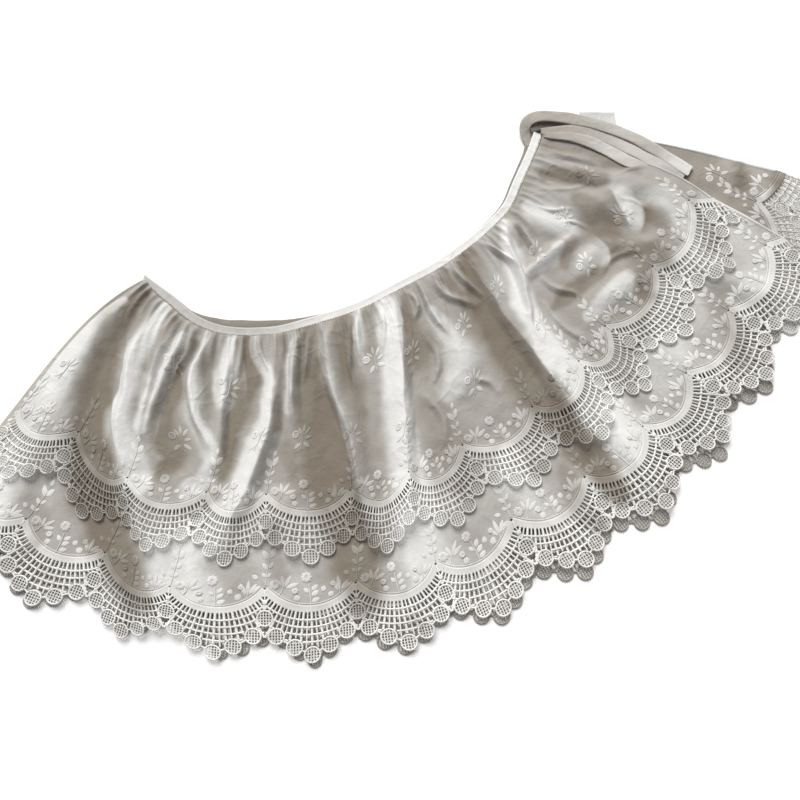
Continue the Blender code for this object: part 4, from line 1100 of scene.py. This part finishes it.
def band_section(profile, along, inward, shift, height, turn):
    """A section of the band across the waist, narrowed and sheared near the folded corner."""
    wx, wy, ox, oy, tx, ty = seam_frame(along)
    near = min(max(1.0 - along / CORNER_LENGTH, 0.0), 1.0)
    narrow = 1.0 - near * CORNER_TAPER / BAND_WIDTH
    inward += BAND_WIDTH * narrow / 2
    x = wx - ox * inward + tx * shift
    y = wy - oy * inward + ty * shift
    pucker = 0.22 * math.sin(along * 0.85) + 0.15 * math.sin(along * 0.31 + 1.0)
    out = []
    for across, up in profile:
        lift = up * (1 + 0.25 * pucker) + 0.35 * pucker * (across / BAND_WIDTH + 0.5)
        run = lift * math.sin(turn) - CORNER_SHEAR * near * (BAND_WIDTH / 2 - across) / BAND_WIDTH
        side = across * narrow
        out.append((x + ox * side + tx * run, y + oy * side + ty * run, height + lift * math.cos(turn)))
    return out


def waistband(material):
    """The band, folded over itself at the left corner."""
    profile = strip_profile(BAND_WIDTH, BAND_THICK)
    reach = WAIST_LENGTH - OPEN_END
    radius = (FRONT_BAND_MID - BACK_BAND_MID) / 2
    middle = (FRONT_BAND_MID + BACK_BAND_MID) / 2
    sections = []
    for along in np.linspace(reach - BACK_BAND_SHORT, CORNER_START, BACK_STEPS):
        offset = float(linear(BACK_OFFSET, along))
        sections.append(band_section(profile, float(along), offset, 0.0, BACK_BAND_MID, math.pi))
    for share in TURN_SHARES:
        angle = math.pi * share
        offset = float(linear(BACK_OFFSET, CORNER_START)) * (1 - share)
        shift, height = -radius * math.sin(angle), middle - radius * math.cos(angle)
        sections.append(band_section(profile, CORNER_START, offset, shift, height, math.pi - angle))
    for along in np.linspace(CORNER_START, reach, FRONT_STEPS):
        sections.append(band_section(profile, float(along), 0.0, 0.0, FRONT_BAND_MID, 0.0))
    step = np.arange(len(sections)) - BACK_STEPS - len(TURN_SHARES)
    # Painted shade: the back run darkest, the front lighter towards its open end
    shade = np.where(step < -2, 0.0, linear(BAND_PAINTED_SHADE, step))
    return swept("waistband_binding", sections, material, rise=np.repeat(shade, len(profile)))


def band_stitches(material):
    """The row of stitches near the band's seam edge."""
    points = []
    faces = []
    z = FRONT_BAND_MID + BAND_THICK / 2 - 0.12
    for i in range(int((WAIST_LENGTH - 8) / STITCH_STEP)):
        wx, wy, ox, oy, tx, ty = seam_frame(4.0 + i * STITCH_STEP)
        x, y = wx - ox * STITCH_INSET, wy - oy * STITCH_INSET
        faces += (grid_faces(len(STITCH_ROWS), 3)[:, [0, 3, 2, 1]] + len(points)).tolist()
        for run, half, up in STITCH_ROWS:
            for side in (-1, 0, 1):
                crest = STITCH_CREST if side == 0 else 0.0
                place = (x + tx * run + ox * half * side, y + ty * run + oy * half * side)
                points.append((*place, z + up + crest))
    return new_mesh("band_stitches", points, faces, material)


def tie(name, rows, material, seed, painted_along):
    """A flat turned strip along its route, a little crumpled."""
    curves, length = smooth_path([(x, y, z) for x, y, z, width in rows])
    width_at = Smooth(curves[0].keys, [row[3] for row in rows])
    rng = np.random.default_rng(seed)
    phase = rng.uniform(0, 6, 3)
    sections = []
    uvs = []
    rise = []
    for at in np.arange(0.0, length + 0.01, length / int(length / TIE_STEP)):
        here = [float(c(at)) for c in curves]
        behind = [float(c(at - 1.0)) for c in curves]
        ahead = [float(c(at + 1.0)) for c in curves]
        run_x, run_y = ahead[0] - behind[0], ahead[1] - behind[1]
        size = math.hypot(run_x, run_y)
        side_x, side_y = run_y / size, -run_x / size
        width = float(width_at(at)) * (1 + 0.03 * math.sin(at / 6.5 + phase[0]))
        tilt = 0.05 * math.sin(at / 14.0 + phase[1])
        section = []
        for across, up in strip_profile(width, TIE_THICK):
            crumple = 0.14 * math.sin(at / 3.9 + across * 0.6 + phase[2]) if up > 0 else 0.0
            x, y = here[0] + side_x * across, here[1] + side_y * across
            section.append((x, y, here[2] + up + crumple + tilt * across))
            uvs.append((at * MM, across * MM))
            # Painted shade: whiteness along the tie, darker towards one edge
            rise.append(linear(painted_along, at / length) - 0.15 * across / width)
        sections.append(section)
    return swept(name, sections, material, np.array(uvs), rise), length


def care_label(material):
    """A thin woven label, left blank."""
    curves, length = smooth_path(LABEL_ROWS)
    rows, columns = LABEL_GRID
    points = []
    uvs = []
    for i in range(rows):
        at = length * (1 - i / (rows - 1))
        y, z = float(curves[0](at)), float(curves[1](at))
        for k in range(columns):
            share = k / (columns - 1)
            x = LABEL_SIDES[0] + (LABEL_SIDES[1] - LABEL_SIDES[0]) * share
            curl = 0.5 * (2 * share - 1) ** 4 + 0.25 * math.sin(share * 5 + i * 0.2)
            points.append((x, y, z + curl))
            uvs.append((x * MM, y * MM))
    return new_mesh("care_label_ribbon", points, grid_faces(rows, columns).tolist(), material, uvs)


# Materials

class Nodes:
    """Short calls for building a node material."""

    def __init__(self, name):
        self.material = bpy.data.materials.new(name)
        self.material.use_nodes = True
        self.tree = self.material.node_tree
        self.shader = self.tree.nodes["Principled BSDF"]

    def node(self, kind, **values):
        node = self.tree.nodes.new(kind)
        for key, value in values.items():
            if hasattr(node, key):
                setattr(node, key, value)
            else:
                node.inputs[key.replace("_", " ")].default_value = value
        return node

    def link(self, a, b):
        self.tree.links.new(a, b)

    def ramp(self, source, low, high, start=0.0, end=1.0, middle=None):
        node = self.node("ShaderNodeValToRGB")
        node.color_ramp.elements[0].position = start
        node.color_ramp.elements[1].position = end
        node.color_ramp.elements[0].color = (*low, 1.0)
        node.color_ramp.elements[1].color = (*high, 1.0)
        if middle:
            node.color_ramp.elements.new((start + end) / 2).color = (*middle, 1.0)
        self.link(source, node.inputs["Fac"])
        return node.outputs["Color"]

    def math(self, operation, a, b):
        node = self.node("ShaderNodeMath", operation=operation)
        for i, value in enumerate((a, b)):
            if isinstance(value, (int, float)):
                node.inputs[i].default_value = value
            else:
                self.link(value, node.inputs[i])
        return node.outputs["Value"]

    def bump(self, height, strength, distance, normal=None):
        node = self.node("ShaderNodeBump")
        node.inputs["Strength"].default_value = strength
        node.inputs["Distance"].default_value = distance
        self.link(height, node.inputs["Height"])
        if normal is not None:
            self.link(normal, node.inputs["Normal"])
        return node.outputs["Normal"]

    def texture(self, kind, place, **values):
        node = self.node("ShaderNodeTex" + kind, **values)
        self.link(place, node.inputs["Vector"])
        return node.outputs

    def threads(self, place, direction, pitch, **values):
        """Bands that repeat every so many millimetres of the cloth."""
        values["Scale"] = 0.5 * math.pi / (pitch * MM) / 10
        return self.texture("Wave", place, wave_type="BANDS", bands_direction=direction, **values)["Fac"]

    def finish(self, roughness, specular, sheen=0.0, sheen_roughness=0.5):
        self.shader.inputs["Roughness"].default_value = roughness
        self.shader.inputs["Specular IOR Level"].default_value = specular
        self.shader.inputs["Sheen Weight"].default_value = sheen
        self.shader.inputs["Sheen Roughness"].default_value = sheen_roughness
        return self.material


def slub(n, flat, scale):
    """Uneven threads that run one way."""
    stretch = n.node("ShaderNodeMapping", Scale=scale)
    n.link(flat, stretch.inputs["Vector"])
    return n.texture("Noise", stretch.outputs["Vector"], Scale=1.0, Detail=2.0)["Fac"]


def creases(n, solid):
    """Crumple, soft facets, and patches of thin wandering creases."""
    crumple = n.texture("Noise", solid, Scale=120.0, Detail=3.0, Roughness=0.6)["Fac"]
    facets = n.texture("Voronoi", solid, feature="SMOOTH_F1", Scale=75.0)["Distance"]
    bent = n.texture("Noise", solid, Scale=28.0, Detail=2.0)
    shift = n.node("ShaderNodeVectorMath", operation="SCALE", Scale=0.03)
    n.link(bent["Color"], shift.inputs["Vector"])
    moved = n.node("ShaderNodeVectorMath", operation="ADD")
    n.link(solid, moved.inputs[0])
    n.link(shift.outputs["Vector"], moved.inputs[1])
    edges = n.texture("Voronoi", moved.outputs["Vector"], feature="DISTANCE_TO_EDGE", Scale=42.0)["Distance"]
    line = n.math("MAXIMUM", n.math("SUBTRACT", 1.0, n.math("MULTIPLY", edges, 7.0)), 0.0)
    patch = n.math("MAXIMUM", n.math("MULTIPLY", n.math("SUBTRACT", bent["Fac"], 0.42), 5.0), 0.0)
    wrinkles = n.math("MULTIPLY", line, n.math("MINIMUM", patch, 1.0))
    broad = n.math("ADD", crumple, n.math("MULTIPLY", facets, 0.9))
    return n.math("ADD", broad, n.math("MULTIPLY", wrinkles, 0.6))


def woven(name, low, high, roughness, weave, pitch=0.5, painted_shade=False, middle=None):
    """Plain-woven cotton: threads both ways, slubs, crumples, and painted light and shade from the rise
    attribute if asked.
    """
    n = Nodes(name)
    place = n.node("ShaderNodeTexCoord")
    solid, flat = place.outputs["Object"], place.outputs["UV"]
    slow = n.texture("Noise", solid, Scale=22.0, Detail=3.0)["Fac"]
    slubs = n.math("ADD", slub(n, flat, (1400.0, 160.0, 1.0)), slub(n, flat, (160.0, 1400.0, 1.0)))
    tone = n.math("ADD", n.math("MULTIPLY", slow, 0.6), n.math("MULTIPLY", slubs, 0.2))
    start, end = 0.35, 0.65
    if painted_shade:
        # Painted light and shade: the rise attribute sets most of the colour
        rise = n.node("ShaderNodeAttribute", attribute_name="rise").outputs["Fac"]
        tone = n.math("ADD", n.math("MULTIPLY", tone, 0.35), n.math("MULTIPLY", rise, 0.65))
        start, end = 0.16, 0.84
    n.link(n.ramp(tone, low, high, start, end, middle), n.shader.inputs["Base Color"])
    threads = n.math("MULTIPLY", n.threads(flat, "X", pitch), n.threads(flat, "Y", pitch))
    height = n.math("ADD", n.math("MULTIPLY", threads, 0.5), slubs)
    soft = n.bump(creases(n, solid), 0.5, 0.0016)
    n.link(n.bump(height, weave, 0.0003, soft), n.shader.inputs["Normal"])
    return n.finish(roughness, 0.2, 0.25, 0.5)


def thread(name, low, high, roughness, pitch, strength):
    """Cotton thread laid in stitches, with a shine across them, coloured mostly by painted light and shade
    from the rise attribute.
    """
    n = Nodes(name)
    place = n.node("ShaderNodeTexCoord")
    slow = n.texture("Noise", place.outputs["Object"], Scale=60.0, Detail=2.0)["Fac"]
    # Painted light and shade: the rise attribute sets most of the thread's colour
    rise = n.node("ShaderNodeAttribute", attribute_name="rise").outputs["Fac"]
    tone = n.math("ADD", n.math("MULTIPLY", slow, 0.25), n.math("MULTIPLY", rise, 0.75))
    n.link(n.ramp(tone, low, high, 0.12, 0.6), n.shader.inputs["Base Color"])
    stitch = n.threads(place.outputs["UV"], "X", pitch, Distortion=1.5, Detail=1.0)
    n.link(n.bump(stitch, strength, 0.0004), n.shader.inputs["Normal"])
    return n.finish(roughness, 0.3, 0.3, 0.4)


def plain_floor():
    n = Nodes("pale_floor")
    place = n.node("ShaderNodeTexCoord")
    slow = n.texture("Noise", place.outputs["Object"], Scale=3.0, Detail=2.0)["Fac"]
    n.link(n.ramp(slow, (0.93, 0.93, 0.93), (0.95, 0.95, 0.95)), n.shader.inputs["Base Color"])
    return n.finish(0.95, 0.1)


# Stage

def stage():
    centre = Vector((-PLAN_CENTRE[0] * MM, -PLAN_CENTRE[1] * MM, 0.0))
    tilt = math.radians(CAMERA_TILT)
    data = bpy.data.cameras.new("camera")
    data.lens = CAMERA_LENS
    data.sensor_width = 36.0
    data.clip_start = 0.01
    camera = bpy.data.objects.new("camera", data)
    camera.location = centre + Vector((0.0, -math.cos(tilt), math.sin(tilt))) * CAMERA_DISTANCE * MM
    camera.rotation_euler = (math.pi / 2 - tilt, 0.0, 0.0)
    bpy.context.collection.objects.link(camera)
    bpy.context.scene.camera = camera

    mesh = bpy.data.meshes.new("floor")
    around = ((-1, -1), (1, -1), (1, 1), (-1, 1))
    corners = [(x * FLOOR_HALF * MM, y * FLOOR_HALF * MM, -FLOOR_DROP * MM) for x, y in around]
    mesh.from_pydata(corners, [], [(0, 1, 2, 3)])
    mesh.materials.append(plain_floor())
    floor = bpy.data.objects.new("floor", mesh)
    bpy.context.collection.objects.link(floor)

    key = bpy.data.lights.new("window", "SUN")
    key.energy = KEY_STRENGTH
    key.angle = math.radians(KEY_SOFTNESS)
    key.color = (1.0, 0.985, 0.96)
    lamp = bpy.data.objects.new("window", key)
    lamp.rotation_euler = Vector(KEY_FROM).to_track_quat("Z", "Y").to_euler()
    bpy.context.collection.objects.link(lamp)

    world = bpy.data.worlds.new("studio")
    world.use_nodes = True
    fill = world.node_tree.nodes["Background"]
    fill.inputs["Color"].default_value = (0.97, 0.985, 1.0, 1.0)
    fill.inputs["Strength"].default_value = FILL_STRENGTH
    bpy.context.scene.world = world
    bpy.context.scene.view_settings.view_transform = "Standard"


# Building

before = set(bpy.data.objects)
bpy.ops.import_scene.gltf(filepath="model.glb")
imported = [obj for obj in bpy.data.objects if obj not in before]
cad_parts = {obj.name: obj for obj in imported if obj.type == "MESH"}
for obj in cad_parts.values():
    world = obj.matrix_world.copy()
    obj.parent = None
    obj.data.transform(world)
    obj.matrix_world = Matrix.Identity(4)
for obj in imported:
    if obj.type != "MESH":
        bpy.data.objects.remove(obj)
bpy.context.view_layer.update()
stage()

# Voile colour runs from dark brown painted shade through the voile's own tone to whiter painted light
voile = woven("cotton_voile", (0.185, 0.155, 0.122), (0.70, 0.695, 0.685), 0.9, 0.35, painted_shade=True,
              middle=(0.38, 0.366, 0.342))
# The same voile as the front, darker all over as painted shade on the back half
back_voile_painted_shade = woven("cotton_voile_back_painted_shade", (0.13, 0.108, 0.082), (0.5, 0.48, 0.445), 0.85, 0.35, painted_shade=True,
                   middle=(0.32, 0.295, 0.26))
binding = woven("cotton_binding", (0.22, 0.20, 0.175), (0.76, 0.75, 0.735), 0.8, 0.5, pitch=0.6, painted_shade=True)
strap = woven("cotton_tie", (0.28, 0.25, 0.21), (0.68, 0.67, 0.65), 0.8, 0.5, pitch=0.6, painted_shade=True)
# The ties' cloth made dark all over as painted shade, for the wrap inside the knot
strap_painted_shade = woven("cotton_tie_painted_shade", (0.15, 0.135, 0.115), (0.2, 0.185, 0.16), 0.8, 0.5, pitch=0.6)
ribbon = woven("label_ribbon", (0.50, 0.495, 0.49), (0.56, 0.555, 0.55), 0.5, 0.25, pitch=0.3)
# Thread colours run from painted shade to the thread's own white, set by the rise attribute
lace_thread = thread("lace_thread", (0.27, 0.243, 0.205), (0.84, 0.83, 0.81), 0.7, 0.7, 0.5)
satin_thread = thread("satin_thread", (0.215, 0.188, 0.155), (0.70, 0.69, 0.67), 0.55, 0.55, 0.5)

front_upper = Tier(FRONT_UPPER, FRONT_UPPER_TOP, UPPER_SHADE, folds=upper_form, gathered=True, drop=LACE_DROP)
front_lower = Tier(FRONT_LOWER, FRONT_LOWER_TOP, LOWER_SHADE, folds=lower_form)
back_lower = Tier(BACK_LOWER, BACK_LOWER_TOP, BACK_SHADE, inward=True, folds=back_form)
back_lace = Tier(BACK_LOWER, BACK_LACE_TOP, BACK_SHADE, inward=True, folds=back_form)
back_upper = Tier(BACK_LOWER, BACK_UPPER_TOP, BACK_SHADE, inward=True)

cloth("front_upper_voile", front_upper, 58, 112, voile, below=on_lower_tier)
cloth("front_lower_voile", front_lower, 40, 70, voile, below=on_back_tier)
cloth("back_lower_voile", back_lower, 16, 40, back_voile_painted_shade)
cloth("back_upper_voile", back_upper, 12, 20, back_voile_painted_shade, radius=22.0)

for name, tier, lace_tier, lift, motif_from, sprigs in (
    ("front_upper", front_upper, front_upper, 0.15, 0, UPPER_SPRIGS),
    ("front_lower", front_lower, front_lower, 0.15, 0, LOWER_SPRIGS),
    ("back_lower", back_lower, back_lace, 0.1, 11, BACK_SPRIGS),
):
    lace = Trim()
    motifs = Trim()
    lace_edging(lace, motifs, tier)
    lace.build(name + "_lace", lace_tier, lift, lace_thread, lace_tier is back_lace)
    scallop_motifs(motifs, tier, motif_from)
    field_sprigs(motifs, sprigs)
    side_hem(motifs, tier)
    motifs.build(name + "_embroidery", tier, lift, satin_thread)

band = waistband(binding)
stitches = band_stitches(lace_thread)
long_tie, long_length = tie("long_tie_strip", LONG_TIE, strap, 1, LONG_TIE_PAINTED_SHADE)
middle_tie, middle_length = tie("middle_tie_strip", MIDDLE_TIE, strap, 2, MIDDLE_TIE_PAINTED_SHADE)
lower_tie, lower_length = tie("lower_tie_strip", LOWER_TIE, strap, 3, LOWER_TIE_PAINTED_SHADE)
knot, knot_length = tie("knot_wrap_strip", KNOT_WRAP, strap_painted_shade, 4, KNOT_PAINTED_SHADE)
label = care_label(ribbon)

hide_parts("front_upper_tier")
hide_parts("front_lower_tier")
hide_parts("back_lower_tier")
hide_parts("back_upper_tier")
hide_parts("waistband")
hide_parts("long_tie")
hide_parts("middle_tie")
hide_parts("lower_tie")
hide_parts("knot_wrap")
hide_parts("care_label")
